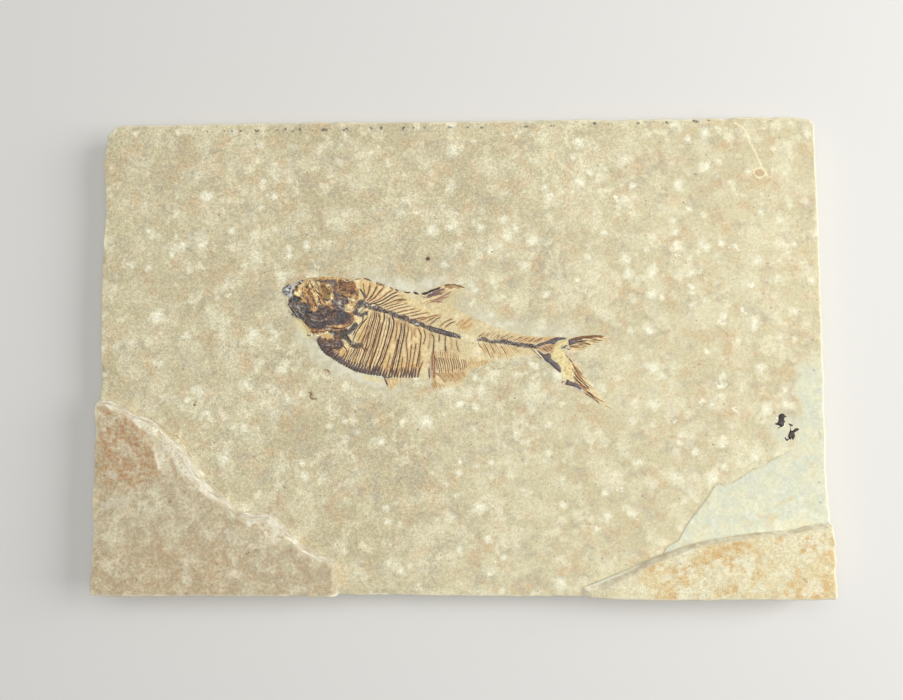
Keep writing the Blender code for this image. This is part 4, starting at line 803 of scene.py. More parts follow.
BACKBONE = drawn("""
    slate 1.2 -37,19.8 -36,19.2 -35.2,18.6  slate 0.7 -36.6,20.9 -34.4,20.9 -32.6,20.6
    ink 1.1 -34.2,18.9 -33,18.4 -31.4,17.9  bone 0.5 -33.8,19.4 -32.8,19.2
    slate 0.6 -32.8,20.2 -31.4,19.4 -30.4,18.8  ink 1.3 -30.9,18.1 -29.2,17.5 -27.6,17.5
    slate 1.6 -27.4,16.9 -25.6,16.5 -24,15.9  ink 1 -26.8,16.1 -25,15.6
    ink 1.9 -23.9,15.5 -22.6,15.1 -21.2,14.6  slate 0.8 -22.8,16.2 -21.2,15.8 -20.2,15.2
    slate 1 -20.4,13.9 -19.2,13.5  bone 0.6 -21.1,14 -20.5,13.8  slate 1.1 -18.8,13.4 -17.8,13 -17.2,12.6
    slate 0.5 -18.6,14.3 -16.6,14.1 -15.2,13.9  bone 1.1 -18,12.2 -16.4,12.4 -15.2,12
    slate 0.7 -16.2,11.3 -15,12.4 -13.6,12.5 -12.8,11.9  ink 0.6 -14.8,11.4 -13.6,11 -12.8,10.4
    slate 1.2 -12.4,10.9 -9.2,9.9 -6.2,9 -3.2,8.2 0.2,7.4
    ink 0.55 -12.4,11.7 -9.2,10.8 -6.2,9.9 -3.2,9 0.4,8.2
    ink 0.55 -12.4,10 -9.2,9 -6.2,8.2 -3.2,7.4 0.6,6.7  ash 0.5 -11,10.5 -9,9.9 -7.2,9.4
    ash 0.5 -5.4,8.9 -3.6,8.4  ash 0.45 -2.4,8 -0.4,7.6  ink 0.7 0.6,7 1.5,6.6  slate 0.45 2.1,7.3 2.6,7
    slate 0.45 4.6,6.5 5.4,6.3  slate 0.7 8.4,5.5 9.4,5.8 10.2,6.4  slate 0.9 10.2,6.7 11,6.6 11.8,6.5
    ash 0.6 10.4,5.8 11.4,5.7  slate 1 13,4.8 15,4.9 17.4,4.9 19.6,4.8
    ink 0.5 17.4,5.4 19.2,5.3 21,4.9 23,4.8  slate 1.2 19.6,4.6 22,4.4 24.4,4.1 26.8,3.8 29,3.5
    ink 0.4 20,4 22.6,3.7 25.4,3.3 28,2.9  ash 0.4 21,4.5 22.6,4.3  ash 0.4 25,3.9 26.4,3.7
    ink 1.5 28.4,3.8 30.4,3.3 32,2.9 33.2,2.5""")

FIN_RAYS = drawn("""
    ink 0.95 -14.5,24.8 -12.2,25.4 -9.8,26.5 -6.4,27.7  bone 0.4 -13,24.5 -11.2,25.1 -9.4,25.9
    dusk 0.85 -12.6,23.3 -10.4,24.1 -8,25.2 -6.4,25.8  dusk 0.7 -8.6,26.2 -6.4,26.6 -4.8,26.6
    brown 0.4 -14.2,23.8 -13,23.4  tan 0.5 -11.4,22 -8.6,22.7 -6,23.3 -3.8,23.4
    tan 0.4 -8,23.3 -6.2,24 -4.6,24.2  tan 0.4 -7.4,24.6 -5.4,25.4 -3.8,25.8
    brown 0.9 -5,28.3 -3.6,28.7 -2,28.8  brown 0.6 -2.4,28.8 -0.4,28.7 1.8,28.1 3.6,27.3
    tan 0.35 -5.4,27.4 -3,27.8 0,27.7  ochre 0.35 -14,20.7 -12.6,21.6 -11.4,22.1
    ochre 0.35 -12.8,20.4 -11.4,21.2 -10.2,21.6  ochre 0.3 -9.8,21 -7.4,21.4 -4.2,21.2
    umber 0.5 -11.3,-5.6 -11.4,-8 -11.1,-10.6  brown 0.45 -10.1,0.4 -10,-3 -10.1,-7
    brown 0.45 -9.3,0 -9.1,-4 -9.3,-8 -9.6,-10.4  tan 0.45 -9,-8 -8.8,-11 -8,-13.8
    brown 0.4 -9.9,-12.4 -9.2,-13.4 -8.6,-14  umber 0.9 -7.3,-1.8 -6.8,-1.8  umber 0.5 -6.7,-0.4 -6.6,0.6
    slate 1.2 -30.6,-8.2 -29.6,-9.6 -28.4,-9.8  slate 0.7 -28.6,-10.2 -27.4,-9.6 -26.6,-9.4
    umber 0.6 -29.9,-9.8 -29.2,-11.6 -28.4,-13.4  bone 0.4 -28.2,-9.2 -27.4,-8.6
    ochre 0.35 -28.2,-10.6 -27.4,-12.4 -26.8,-14.4  ochre 0.35 -26.6,-10.4 -26,-12 -25.6,-13.4
    ochre 0.35 -24.8,-10.2 -24.2,-11.6  brown 1 46.4,5.5 49,6 52,6.6 55,6.9
    brown 0.95 54.4,6.9 57.4,7 60.8,6.8  slate 0.6 47,5.2 49.8,5.5 52.4,6.1
    slate 0.6 46.8,4.2 49.4,4.6 52,5 54,5.2  chalk 0.55 60.6,7.3 61.8,7.1 63,6.9
    amber 0.45 59.6,6.2 61.2,6.2 62.6,5.9  brown 0.4 55.4,5.4 58,5.4 60.6,5.2  cream 0.8 54.6,5.3 54.9,5.1
    brown 0.5 52.2,7.1 52.7,7  brown 0.4 50,3.5 52,3.8 54,3.9 55.8,3.5  tan 0.4 48.8,2.6 51,2.5 53.4,2.7
    ochre 0.35 48.4,1.6 50.4,1.4 52.6,1.8  ochre 0.3 55.8,4.3 58,4.6 60,4.2
    slate 0.7 43,2.2 44.4,2.5 45.2,3.2 46,2.9  ash 0.6 45.4,2.2 46.6,1.6 47.4,2.6
    ash 0.5 45,-0.2 45.6,-1.2 46.4,-2.2  umber 0.5 46.2,-1.9 47.2,-3.2 47.9,-4
    brown 0.45 47.8,-3.8 48.8,-5.6 50,-7.4 51.6,-9.2  tan 0.35 49.2,-5.2 50.4,-7 52,-9
    umber 0.75 47.5,-6.2 47.9,-7  umber 0.5 47.9,-7 48.8,-8.6 50,-10.2 51.6,-11.8 53.2,-13.2 54.6,-15
    brown 0.45 48.2,-5.2 49.4,-7.2 50.8,-9.6 52.2,-11.4 53.4,-12.6
    umber 0.55 47.9,-9.3 49.2,-10.9 50.8,-12.4 52.6,-13.8 54,-15  ochre 0.35 50.2,-10.9 51.8,-12.8 53,-14
    rust 0.6 50.2,-12.8 51.6,-13.8 52.8,-14.8  chalk 0.7 53.6,-15.2 54,-15
    brown 0.8 53.4,-15.6 55,-16.8 57.4,-18.7  brown 0.55 52.4,-16.1 54.4,-17.5 56.6,-18.9 58.8,-20.7
    cream 0.5 59.6,-20.9 61,-21.8  tan 0.4 61.4,-21.6 62.6,-22.5
    brown 0.45 42.9,-12.6 43.5,-11.9 44.6,-11.5""")

# Plates at the root of the tail: colour, outline
TAIL_PLATES = drawn("""
    slate 31.8,3 34,4.2 36.6,5 39.4,6.3 42,6.8 45.2,6.5 45,5.7 43.2,5.5 41.6,4.9 40.4,3.5 38.6,3.9 36,3.4
    33.6,2.5
    slate 32.4,2.6 34.6,0.8 36.4,-0.2 38.2,0.2 39.2,-0.8 39.2,-2.2 40.6,-3.2 42.3,-4.6 43.1,-6.6 42.9,-8.1
    42,-7.6 40.4,-6.4 38.4,-4.4 36.8,-3.4 35.2,-1.4 33.4,0.8
    slate 46.1,5.6 48.4,5.9 49.4,5.2 48.2,3.6 46.3,3.1
    slate 44.8,-9.8 45.8,-10.7 47.4,-11.5 49.4,-12.2 50.8,-13.5 52,-14.7 50.8,-15.1 49.2,-14.4 47,-13.6
    45.2,-13.2 44.4,-12.7 45.1,-11.6""")
TAIL_GLINTS = drawn("""
    blue 0.55 47.6,-13.5 49.2,-14.3 50.8,-15.2 52.6,-16.1  chalk 0.6 46.7,-12.9 47.1,-12.8
    ash 0.5 48.2,-13.1 48.8,-13.4  ash 0.5 37.6,-1.6 38.4,-2  ash 0.4 38,0 38.8,-0.6
    ash 0.4 36.2,4.2 38,4.6  rust 0.5 37.4,4.4 39.2,5.2  rust 0.5 40.6,6.6 43,6.7
    brown 0.5 36.6,-0.9 37.6,-0.6""")

# Runs of scutes along the back: colour, width, points
BACK_SCUTES = drawn("""
    brown 0.5 -39,31.8 -37.2,31.3 -35.4,30.5  umber 0.75 -33.6,29.7 -33.2,29.9
    brown 0.55 -32.8,29.4 -31.4,29.1 -30.2,28.6  umber 0.55 -27.7,28 -27.2,27.5 -26.7,27.2
    umber 0.6 -25.6,27 -24.9,26.6 -24.3,26.3  umber 0.5 -22.2,26.1 -20.6,25.6 -18.9,25.7
    ink 0.8 -17.9,25.8 -16.8,25.3 -15.6,24.9  brown 0.4 -42.6,31 -41.2,31.4 -40,31.3""")


# ---------------------------------------------------------------- the fish
FILM_RISE = 0.10
FILM_DEPTH = 0.45
FILM_SPACING = 0.30
HEAD_SPACING = 0.23
HEAD_END = -38.0
RIM_SPACING = 0.4
TOOTH_PITCH = 1.25
TOOTH_HEIGHT = 0.38


def scuted(run):
    """A stretch of the belly with its row of small pointed scutes standing out of it."""
    curve = smooth_curve(run, RIM_SPACING)
    slope = np.gradient(curve, axis=0)
    out = np.column_stack([slope[:, 1], -slope[:, 0]]) / np.hypot(*slope.T)[:, None]
    out *= np.where(out[:, 1:] > 0.0, -1.0, 1.0)
    travel = np.arange(len(curve)) * RIM_SPACING
    tooth = 1 - 2 * np.abs((travel / TOOTH_PITCH) % 1.0 - 0.5)
    return curve + out * (TOOTH_HEIGHT * tooth)[:, None]


def fish_outline():
    """The fish's border, clockwise, as an array."""
    runs = [BACK, DORSAL_FIN, REAR_BACK, UPPER_LOBE, LOWER_LOBE, TAIL_STALK, ANAL_FIN]
    border = [smooth_curve(run, RIM_SPACING) for run in runs]
    belly = scuted(BELLY)
    border.append(belly[belly[:, 0] > PELVIC_FIN[0][0] + RIM_SPACING])
    border.append(smooth_curve(PELVIC_FIN, RIM_SPACING))
    border.append(belly[belly[:, 0] < PELVIC_FIN[-1][0] - RIM_SPACING])
    border.append(smooth_curve(THROAT, RIM_SPACING))
    return np.vstack(border)


FISH_BORDER = fish_outline()


def thin_piece(name, border, inner, top, bottom, colours=None):
    """A closed thin piece: a fine upper face over a border and inner points, and a plain underside."""
    count = len(border)
    sides = [(i, (i + 1) % count) for i in range(count)]
    flat = np.vstack([border, inner])
    order, faces = triangulate(flat, sides)
    place = np.empty(len(flat), int)
    place[order] = np.arange(len(order))
    flat = flat[order]
    middle = flat[faces].mean(1)
    faces = faces[within(middle[:, 0], middle[:, 1], border)]
    upper = place[:count]
    lower = len(flat) + np.arange(count)
    walls = np.column_stack([upper, np.roll(upper, -1), np.roll(lower, -1), lower])
    under_order, under = triangulate(border, sides)
    middle = border[under_order][under].mean(1)
    under = lower[under_order[under[within(middle[:, 0], middle[:, 1], border)]]][:, ::-1]
    points = np.vstack([np.column_stack([flat, top(*flat.T)]),
                        np.column_stack([border, np.full(count, bottom)])])
    if signed_area(border) > 0.0:
        walls = walls[:, ::-1]
    tints = {key: np.vstack([values(*flat.T), values(*border.T)]) for key, values in (colours or {}).items()}
    return make_mesh(name, points, faces.tolist() + walls.tolist() + under.tolist(), colours=tints)


def signed_area(ring):
    """Twice the area of a closed ring, positive if it runs anticlockwise."""
    after = np.roll(ring, -1, axis=0)
    return float((ring[:, 0] * after[:, 1] - after[:, 0] * ring[:, 1]).sum())


def filling(border, spacing, clearance, rng, keep=None):
    """Points inside a border, `spacing` apart and clear of it."""
    points = scattered(border.min(0), border.max(0), spacing, rng)
    if keep is not None:
        points = points[keep(*points.T)]
    points = points[within(points[:, 0], points[:, 1], border)]
    return points[distance_to(points[:, 0], points[:, 1], np.vstack([border, border[:1]]))[0] > clearance]


# Fans of fine rays in the fins: roots, tips, how many, colour, width, bow
FANS = [
    (traced("-9,-1.2 -4,-1.4 1,-1.8 3.4,-2.4"), traced("-7.6,-8.4 -3,-8.2 1.6,-7.4 4.2,-6.6"),
     15, "brown", 0.36, 0.15),
    (traced("3.6,-2.2 8,-3 14.6,-3.2"), traced("4.6,-4.8 8.8,-5 15.2,-4.4"), 11, "ochre", 0.34, 0.2),
    (traced("-9.4,-7.6 -5,-7.8 -0.4,-7.6 2.6,-7.4"), traced("-4.6,-12.6 -2.2,-12.4 1.4,-11.6 3.8,-10.2"),
     16, "tan", 0.36, 0.3),
    (traced("-10,-12 -8,-12 -6,-12.4"), traced("-8.6,-14.6 -7,-14.4 -5,-14.4"), 6, "tan", 0.36, 0.3),
    (traced("-6.8,1.6 -3.2,0.4 0.6,0.2"), traced("-6.2,-2.6 -3,-3.6 0.8,-3.6"), 8, "tan", 0.30, 0.1),
    (traced("9,4.6 14,4 19,3.4 24,3"), traced("12.6,-1.2 16.6,-2.2 20.8,-2.4 26.6,-0.4"),
     17, "ochre", 0.30, 0.0),
    (traced("9.4,6.8 16,5.8 24,5 33,4.4"), traced("12,9.2 18.8,8.5 27,7.4 36.6,6.8"), 22, "tan", 0.30, 0.0),
    (traced("-12.4,21 -10.4,21.6 -8.2,22"), traced("-3.6,21.6 -3,23.6 -1.4,26.4"), 7, "mauve", 0.34, 0.25),
    (traced("-12.6,23.4 -12.4,24 -12,24.6"), traced("-4.8,24.8 -4.4,26 -4.8,27.2"), 6, "dusk", 0.36, 0.2),
    (traced("-29.4,-10 -26.2,-9.8 -23.4,-9.8"), traced("-27.6,-14.4 -26.2,-15 -23.4,-12"),
     6, "ochre", 0.28, 0.2),
    (traced("46,5.4 46.4,3.6 46.6,2.4"), traced("61.6,6.9 58.6,4.8 52.6,1.6"), 9, "brown", 0.30, 0.3),
    (traced("47.6,-4 48.6,-8 48.4,-11"), traced("52.6,-9.2 61,-20.8 54.4,-16.8"), 8, "tan", 0.34, -0.4)]


def fans():
    """The rays that fan out in the fins, as colour, width and points, fan by fan."""
    rng = np.random.default_rng(91)
    for roots, tips, count, colour, width, bow in FANS:
        roots = smooth_curve(roots, 0.3)
        tips = smooth_curve(tips, 0.3)
        for index in range(count):
            part = index / (count - 1)
            root = roots[round(part * (len(roots) - 1))]
            tip = tips[round(part * (len(tips) - 1))]
            tip = root + (tip - root) * rng.uniform(0.72, 1.04)
            middle = (root + tip) / 2 + bow * np.array([root[1] - tip[1], tip[0] - root[0]]) / 4
            yield colour, width, [tuple(root), tuple(middle), tuple(tip)]


def between(lines, shares, least=0.0):
    """Lines part of the way between each two that follow one another and leave room enough."""
    for (_, _, here), (_, _, after) in zip(lines, lines[1:]):
        here = np.array(here)
        after = np.array(after)
        if min(len(here), len(after)) < 4 or np.hypot(*(here[0] - after[0])) > 4.0:
            continue
        steps = np.linspace(0.0, 1.0, 6)
        here = np.array([here[round(step * (len(here) - 1))] for step in steps])
        after = np.array([after[round(step * (len(after) - 1))] for step in steps])
        if np.hypot(*(here - after).T).mean() < least:
            continue
        for share in shares:
            yield here * (1 - share) + after * share


def film_paint(x, y):
    """The stain of the fish on the bed, from its body's soft colour to the marks of its skull."""
    paint = Paint(x, y)
    for name, strength, soft, rise, outline in FILM_AREAS:
        paint.patch(outline, shade(name), strength, soft, rise, wobble=0.9)
    body_streaks(paint)
    for _, width, line in RIBS + NEURAL_SPINES + HAEMAL_BONES:
        paint.line(line, width + 0.7, shade("tan"), strength=0.5, soft=0.7, rise=0.03)
    for share, name, strength in ((0.26, "cream", 0.6), (0.76, "cream", 0.6), (0.5, "brown", 0.30)):
        for line in between(RIBS, [share], 1.2):
            paint.line(line, 0.36, shade(name), strength=strength, soft=0.35, rise=0.03)
    for line in between(NEURAL_SPINES, [0.5]):
        paint.line(line, 0.4, shade("cream"), strength=0.7, soft=0.4, rise=0.0)
    for name, strength, soft, rise, outline in HEAD_AREAS:
        paint.patch(outline, shade(name), strength, soft, rise, wobble=0.8)
    for name, width, points in HEAD_LINES:
        paint.line(points, width, shade(name), strength=0.9, soft=0.3, rise=0.35)
    skull_grit(paint)
    for name, strength, soft, rise, outline in CALM_AREAS:
        paint.patch(outline, shade(name), strength, soft, rise, wobble=0.8)
    for name, width, [place] in HEAD_SPOTS:
        paint.line([place, (place[0] + 0.02, place[1])], width, shade(name), strength=0.9, soft=0.35,
                   rise=0.45)
    return paint


def body_streaks(paint):
    """Fine streaks along the ribs and spines of the trunk."""
    x, y = paint.x, paint.y
    lean = np.clip(0.12 + 0.010 * (-15.0 - x), 0.05, 0.40)
    along_ribs = 0.6 * ripple(x - lean * y, y / 7.0, 0.5, 221) + 0.4 * ripple(x, y, 0.8, 222)
    along_back = 0.6 * ripple(x / 7.0, y - 0.42 * x, 0.5, 223) + 0.4 * ripple(x, y, 0.8, 224)
    streak = np.where(y - 0.33 * (-12.0 - x) > 11.4, along_back, along_ribs)
    trunk = np.flatnonzero(paint.cover > 0.02)
    for name, side in (("cream", 1.0), ("tan", -1.0)):
        amount = 0.55 * smooth_step(side * streak[trunk], 0.15, 0.7) * paint.cover[trunk]
        paint.laid[trunk] = paint.laid[trunk] * (1 - amount[:, None]) + shade(name) * (
            amount * paint.cover[trunk])[:, None]


def skull_grit(paint):
    """Broken bone: the skull, the plates and the backbone flecked and made lighter and darker."""
    x, y = paint.x, paint.y
    dark = np.flatnonzero((paint.rise * paint.cover > 0.13))
    x, y = x[dark], y[dark]
    light = 0.42 * ripple(x, y, 0.85, 231) + 0.26 * ripple(x, y, 0.42, 232)
    paint.laid[dark] *= np.clip(1 + light, 0.35, 1.8)[:, None]
    paint.rise[dark] += 0.10 * light
    skull = (1 - smooth_step(x, -42.0, -38.0)) * smooth_step(x, -70.0, -68.0)
    skull = skull * (0.35 + 0.65 * np.maximum(smooth_step(y, 17.0, 21.5), 1 - smooth_step(y, 9.5, 11.5)))
    flecks = (("tan", 0.95, 233, 0.42, 0.55), ("ink", 0.9, 234, 0.40, 0.65), ("rust", 1.3, 235, 0.45, 0.5),
              ("ash", 0.7, 236, 0.52, 0.55), ("straw", 0.55, 237, 0.62, 0.5))
    for name, size, seed, level, strength in flecks:
        spot = 0.7 * ripple(x, y, size, seed) + 0.3 * ripple(x, y, size / 2, seed + 20)
        keep = 1.0 if name in ("ink", "ash") else skull
        amount = strength * keep * smooth_step(spot, level - 0.08, level + 0.08)
        paint.laid[dark] = paint.laid[dark] * (1 - amount[:, None]) + shade(name) * (
            amount * paint.cover[dark])[:, None]


def film_height(x, y):
    """Height of the fish's film over the underside of the slab, before the marks on it."""
    depth = depth_inside(x, y, np.vstack([FISH_BORDER, FISH_BORDER[:1]]), FISH_BORDER)
    head = 1 - smooth_step(x, -44.0, -36.0)
    edge = smooth_step(depth, -0.1, 0.7 - 0.25 * head)
    grain = 0.05 * ripple(x, y, 0.9, 201) + 0.04 * ripple(x, y, 2.4, 202)
    lift = FILM_RISE + 0.12 * head + (0.5 + head) * grain
    return BED + bed_waves(x, y) - 0.06 + edge * lift


def fish_film():
    """The pressed body of the fish: a thin film over the bed, thicker at the skull."""
    rng = np.random.default_rng(7)
    head = filling(FISH_BORDER, HEAD_SPACING, 0.16, rng, lambda x, y: x < HEAD_END)
    body = filling(FISH_BORDER, FILM_SPACING, 0.2, rng, lambda x, y: x >= HEAD_END)
    inner = np.vstack([head, body])

    def top(x, y):
        paint = film_paint(x, y)
        return film_height(x, y) + paint.rise * paint.cover

    def stain(x, y):
        return film_paint(x, y).colour()

    return thin_piece("fish_film", FISH_BORDER, inner, top, BED - FILM_DEPTH, {"stain": stain})


def shade(name):
    """A palette colour as scene-linear values."""
    return linear(*PALETTE[name])


class Bones:
    """Raised bones pressed into the film, gathered into one closed mesh."""

    def __init__(self, seed):
        self.points = []
        self.tints = []
        self.faces = []
        self.seed = seed
        self.count = 0

    def ridge(self, name, width, line, rise=0.55, wedge=False):
        """One bone: a ridge along the line that thins at both ends, or a wedge that thins to its last."""
        curve = smooth_curve(line, max(0.3, 0.45 * width))
        self.seed += 1
        rng = np.random.default_rng(self.seed)
        travel = np.concatenate([[0.0], np.cumsum(np.hypot(*np.diff(curve, axis=0).T))])
        across = np.gradient(curve, axis=0)
        across = np.column_stack([-across[:, 1], across[:, 0]]) / np.hypot(*across.T)[:, None]
        zero = np.zeros(len(curve))
        curve = curve + across * (0.07 * ripple(travel, zero, 2.2, self.seed % 97))[:, None]
        ends = np.minimum(travel, travel[-1] - travel)
        thin = 0.35 + 0.65 * smooth_step(ends, -0.1, 1.1)
        pale = 0.35 * smooth_step(0.9 - ends, 0.0, 0.9)
        if wedge:
            thin = np.interp(travel / travel[-1], (0.0, 0.12, 0.5, 1.0), (0.75, 1.0, 0.8, 0.3))
            pale = np.zeros(len(curve))
        half = 0.5 * width * thin * (1 + 0.28 * ripple(travel, zero, 0.9, self.seed % 89))
        crest = rise * width * thin * (0.8 + 0.3 * ripple(travel, zero, 1.3, self.seed % 83))
        light = 0.5 + 0.5 * ripple(travel, zero, 1.5, self.seed % 79)
        tint = shade(name)[None, :] * (0.72 + 0.5 * light)[:, None] * rng.uniform(0.9, 1.12)
        tint = tint * (1 - pale[:, None]) + shade("tan") * pale[:, None]
        profile = [(-1.0, -0.22, 0.0), (-0.62, -0.02, 0.62), (0.0, 0.0, 1.0), (0.62, -0.02, 0.62),
                   (1.0, -0.22, 0.0)]
        start = self.count
        for side, drop, lift in profile:
            place = curve + across * (side * half)[:, None]
            self.points.append(np.column_stack([place, drop + lift * crest]))
            # Painted shade: each bone's colour darkens towards its flanks and is lightest along its crest.
            self.tints.append(np.column_stack([tint * (0.86 + 0.14 * lift), np.ones(len(curve))]))
        length = len(curve)
        ring = [start + index * length for index in range(len(profile))]
        for here, after in zip(ring, ring[1:] + ring[:1]):
            for step in range(length - 1):
                self.faces.append((here + step, here + step + 1, after + step + 1, after + step))
        self.faces.append(list(ring))
        self.faces.append([corner + length - 1 for corner in ring[::-1]])
        self.count += length * len(profile)

    def piece(self, name, ground):
        """The finished object, set down on what lies under it."""
        points = np.vstack(self.points)
        points[:, 2] += ground.height(points[:, 0], points[:, 1])
        return make_mesh(name, points, self.faces, colours={"stain": np.vstack(self.tints)})


class Ground:
    """The upper faces that bones are set down on."""

    def __init__(self):
        self.trees = []

    def add(self, piece):
        """Lets later bones lie on this piece too."""
        corners = [vertex.co / MM for vertex in piece.data.vertices]
        faces = [tuple(face.vertices) for face in piece.data.polygons]
        self.trees.append(BVHTree.FromPolygons(corners, faces))

    def height(self, x, y):
        """Height of the uppermost face at each place."""
        found = film_height(x, y)
        down = Vector((0.0, 0.0, -1.0))
        for tree in self.trees:
            for index, (right, up) in enumerate(zip(x.tolist(), y.tolist())):
                place = tree.ray_cast(Vector((right, up, 2 * BED)), down)[0]
                if place is not None:
                    found[index] = max(found[index], place.z)
        return found


def bone_group(name, lines, seed, rise, swell, ground, wedge=False):
    """One named mesh of bones from colour, width and points, every width swelled by a factor."""
    bones = Bones(seed)
    for colour, width, line in lines:
        bones.ridge(colour, width * swell, line, rise, wedge)
    return bones.piece(name, ground)


BELLY_RUN = traced("""
    -57.9,5.2 -56.7,3 -55.3,1.2 -53.6,-0.4 -50.8,-2.2 -48.2,-3.9 -45.4,-5.5 -42.1,-7.1 -39.2,-7.9 -35,-8.7
    -31.3,-9.1 -26.7,-9.6 -19.4,-9.9 -15.6,-9.6""")
SCUTE_PITCH = 1.22


def belly_scutes():
    """The dark wedge that each rib ends in along the belly, as lines from the foot upwards."""
    run = smooth_curve(BELLY_RUN, 0.1)
    rng = np.random.default_rng(31)
    travel = np.concatenate([[0.0], np.cumsum(np.hypot(*np.diff(run, axis=0).T))])
    for foot in np.arange(0.4, travel[-1] - 0.3, SCUTE_PITCH):
        x = float(np.interp(foot, travel, run[:, 0]))
        y = float(np.interp(foot, travel, run[:, 1])) - 0.1
        turn = math.radians(np.interp(x, (-57.0, -48.0, -38.0, -16.0), (30.0, 52.0, 66.0, 78.0)))
        turn += rng.uniform(-0.08, 0.08)
        length = rng.uniform(2.7, 4.2)
        length *= float(np.interp(x, (-57.0, -50.0, -30.0, -16.0), (0.7, 1.0, 1.15, 1.3)))
        step = np.array([math.cos(turn), math.sin(turn)]) * length
        colour = ("plum", "plum", "slate", "murk")[rng.integers(4)]
        wide = rng.uniform(1.15, 1.45) if x < -30.0 else rng.uniform(0.9, 1.15)
        yield colour, wide, [(x, y), (x + 0.4 * step[0], y + 0.4 * step[1]), (x + step[0], y + step[1])]


def rib_lines():
    """Thin ribs between the drawn ones."""
    for index, line in enumerate(between(RIBS, [0.5], 1.3)):
        yield ("brown", "umber", "rust")[index % 3], 0.32, [tuple(place) for place in line]


FRONT_SPINE = traced("""
    -37,19.9 -33,19 -28,17.3 -23.5,15.6 -20.5,14.4 -17.5,13.3 -14.5,12 -12.4,10.9 -6.2,9 0.2,7.4 1.6,6.9""")
REAR_SPINE = traced("""
    8.4,5.6 11,6.2 13.5,5 19.6,4.8 24.4,4.1 29,3.4 33,2.6""")
# Tenths of a millimetre between two joints of the backbone, and the rough bits beside each joint
JOINT_PITCH = 11
BITS_PER_JOINT = 5


def vertebrae():
    """The joints of the backbone and the rough bits along it, as colour, width and points."""
    rng = np.random.default_rng(71)
    for run, half in ((FRONT_SPINE, 0.95), (REAR_SPINE, 0.7)):
        curve = smooth_curve(run, 0.1)
        slope = np.gradient(curve, axis=0)
        slope /= np.hypot(*slope.T)[:, None]
        across = np.column_stack([-slope[:, 1], slope[:, 0]])
        for index in range(3, len(curve) - 3, JOINT_PITCH):
            middle, ahead, up = curve[index], slope[index], across[index]
            joint = (middle + half * up, middle + 0.1 * ahead, middle - half * up)
            yield "ink", 0.30, [tuple(place) for place in joint]
            for _ in range(BITS_PER_JOINT):
                place = middle + ahead * rng.uniform(0.0, 1.1) + up * rng.normal(0, 0.62) * half
                turn = rng.uniform(0.0, math.pi)
                step = np.array([math.cos(turn), math.sin(turn)]) * rng.uniform(0.2, 0.5)
                colour = ("ink", "slate", "ash", "bone", "ash", "umber", "chalk")[rng.integers(7)]
                bit = (place - step, place, place + step)
                yield colour, rng.uniform(0.34, 0.58), [tuple(corner) for corner in bit]


# Rows of teeth on the back's scutes: start, end, height; and the space between two teeth
COMBS = [((-39.0, 31.6), (-35.6, 30.6), 0.7), ((-33.6, 29.3), (-30.0, 28.6), 1.1),
         ((-27.8, 27.9), (-26.4, 27.0), 1.1), ((-25.4, 26.8), (-24.2, 26.3), 0.9),
         ((-22.0, 25.9), (-19.0, 25.6), 0.5), ((-17.8, 25.4), (-15.6, 24.9), 0.8)]
COMB_PITCH = 0.72


def back_combs():
    """Small upright teeth on the runs of scutes along the back."""
    rng = np.random.default_rng(81)
    for start, end, tall in COMBS:
        start, end = np.array(start), np.array(end)
        count = max(2, round(float(np.hypot(*(end - start))) / COMB_PITCH))
        for index in range(count):
            foot = start + (end - start) * (index + 0.5) / count
            lean = rng.uniform(-0.15, 0.3)
            tip = foot + np.array([lean, 1.0]) * tall * rng.uniform(0.5, 0.9)
            base = foot - np.array([lean, 1.0]) * tall * rng.uniform(0.45, 0.7)
            yield (("brown", "umber", "plum")[rng.integers(3)], rng.uniform(0.38, 0.55),
                   [tuple(base), tuple(foot), tuple(tip)])


# Patches of streaks on the head: middle, half sizes, angle in degrees, how many, colours
STREAKS = [
    ((-65.5, 19.0), (3.6, 3.4), -38, 34, "ash ink slate ink bone"),
    ((-58.0, 15.0), (4.6, 2.8), -12, 46, "umber ink slate plum ash brown"),
    ((-51.0, 15.2), (4.6, 2.4), 24, 18, "slate ink plum umber"),
    ((-60.5, 26.0), (2.6, 4.6), -62, 40, "amber brown straw rust umber"),
    ((-55.0, 26.2), (2.0, 2.2), -50, 16, "brown olive tan umber"),
    ((-46.2, 28.0), (3.2, 2.6), 20, 44, "orange umber plum brown plum tan rust"),
    ((-50.6, 26.2), (1.2, 3.4), 80, 18, "ink slate brown"),
    ((-47.4, 22.6), (3.6, 2.0), -35, 34, "ink cream umber ash tan"),
    ((-53.0, 3.6), (4.4, 2.4), -28, 34, "ink brown slate plum ash"),
    ((-47.0, 8.8), (4.4, 1.6), 30, 30, "ink jaw slate"),
    ((-43.6, 4.6), (2.6, 2.0), 50, 20, "ink slate cream"),
    ((-39.6, 18.8), (2.2, 2.6), 50, 18, "ink slate cream umber"),
    ((-58.0, 20.6), (5.0, 1.4), -20, 22, "umber brown tan ink")]


def skull_strokes():
    """Short streaks that follow the broken bones of the head."""
    rng = np.random.default_rng(61)
    for (x, y), (wide, high), angle, count, names in STREAKS:
        colours = names.split()
        for _ in range(count):
            place = np.array([x + rng.normal(0, 0.5) * wide, y + rng.normal(0, 0.5) * high])
            if not within(place[:1], place[1:], FISH_BORDER)[0]:
                continue
            turn = math.radians(angle + rng.normal(0, 16))
            step = np.array([math.cos(turn), math.sin(turn)]) * rng.uniform(0.4, 1.1)
            bend = np.array([-step[1], step[0]]) * rng.uniform(-0.25, 0.25)
            yield (colours[rng.integers(len(colours))], rng.uniform(0.22, 0.42),
                   [tuple(place - step), tuple(place + bend), tuple(place + step)])


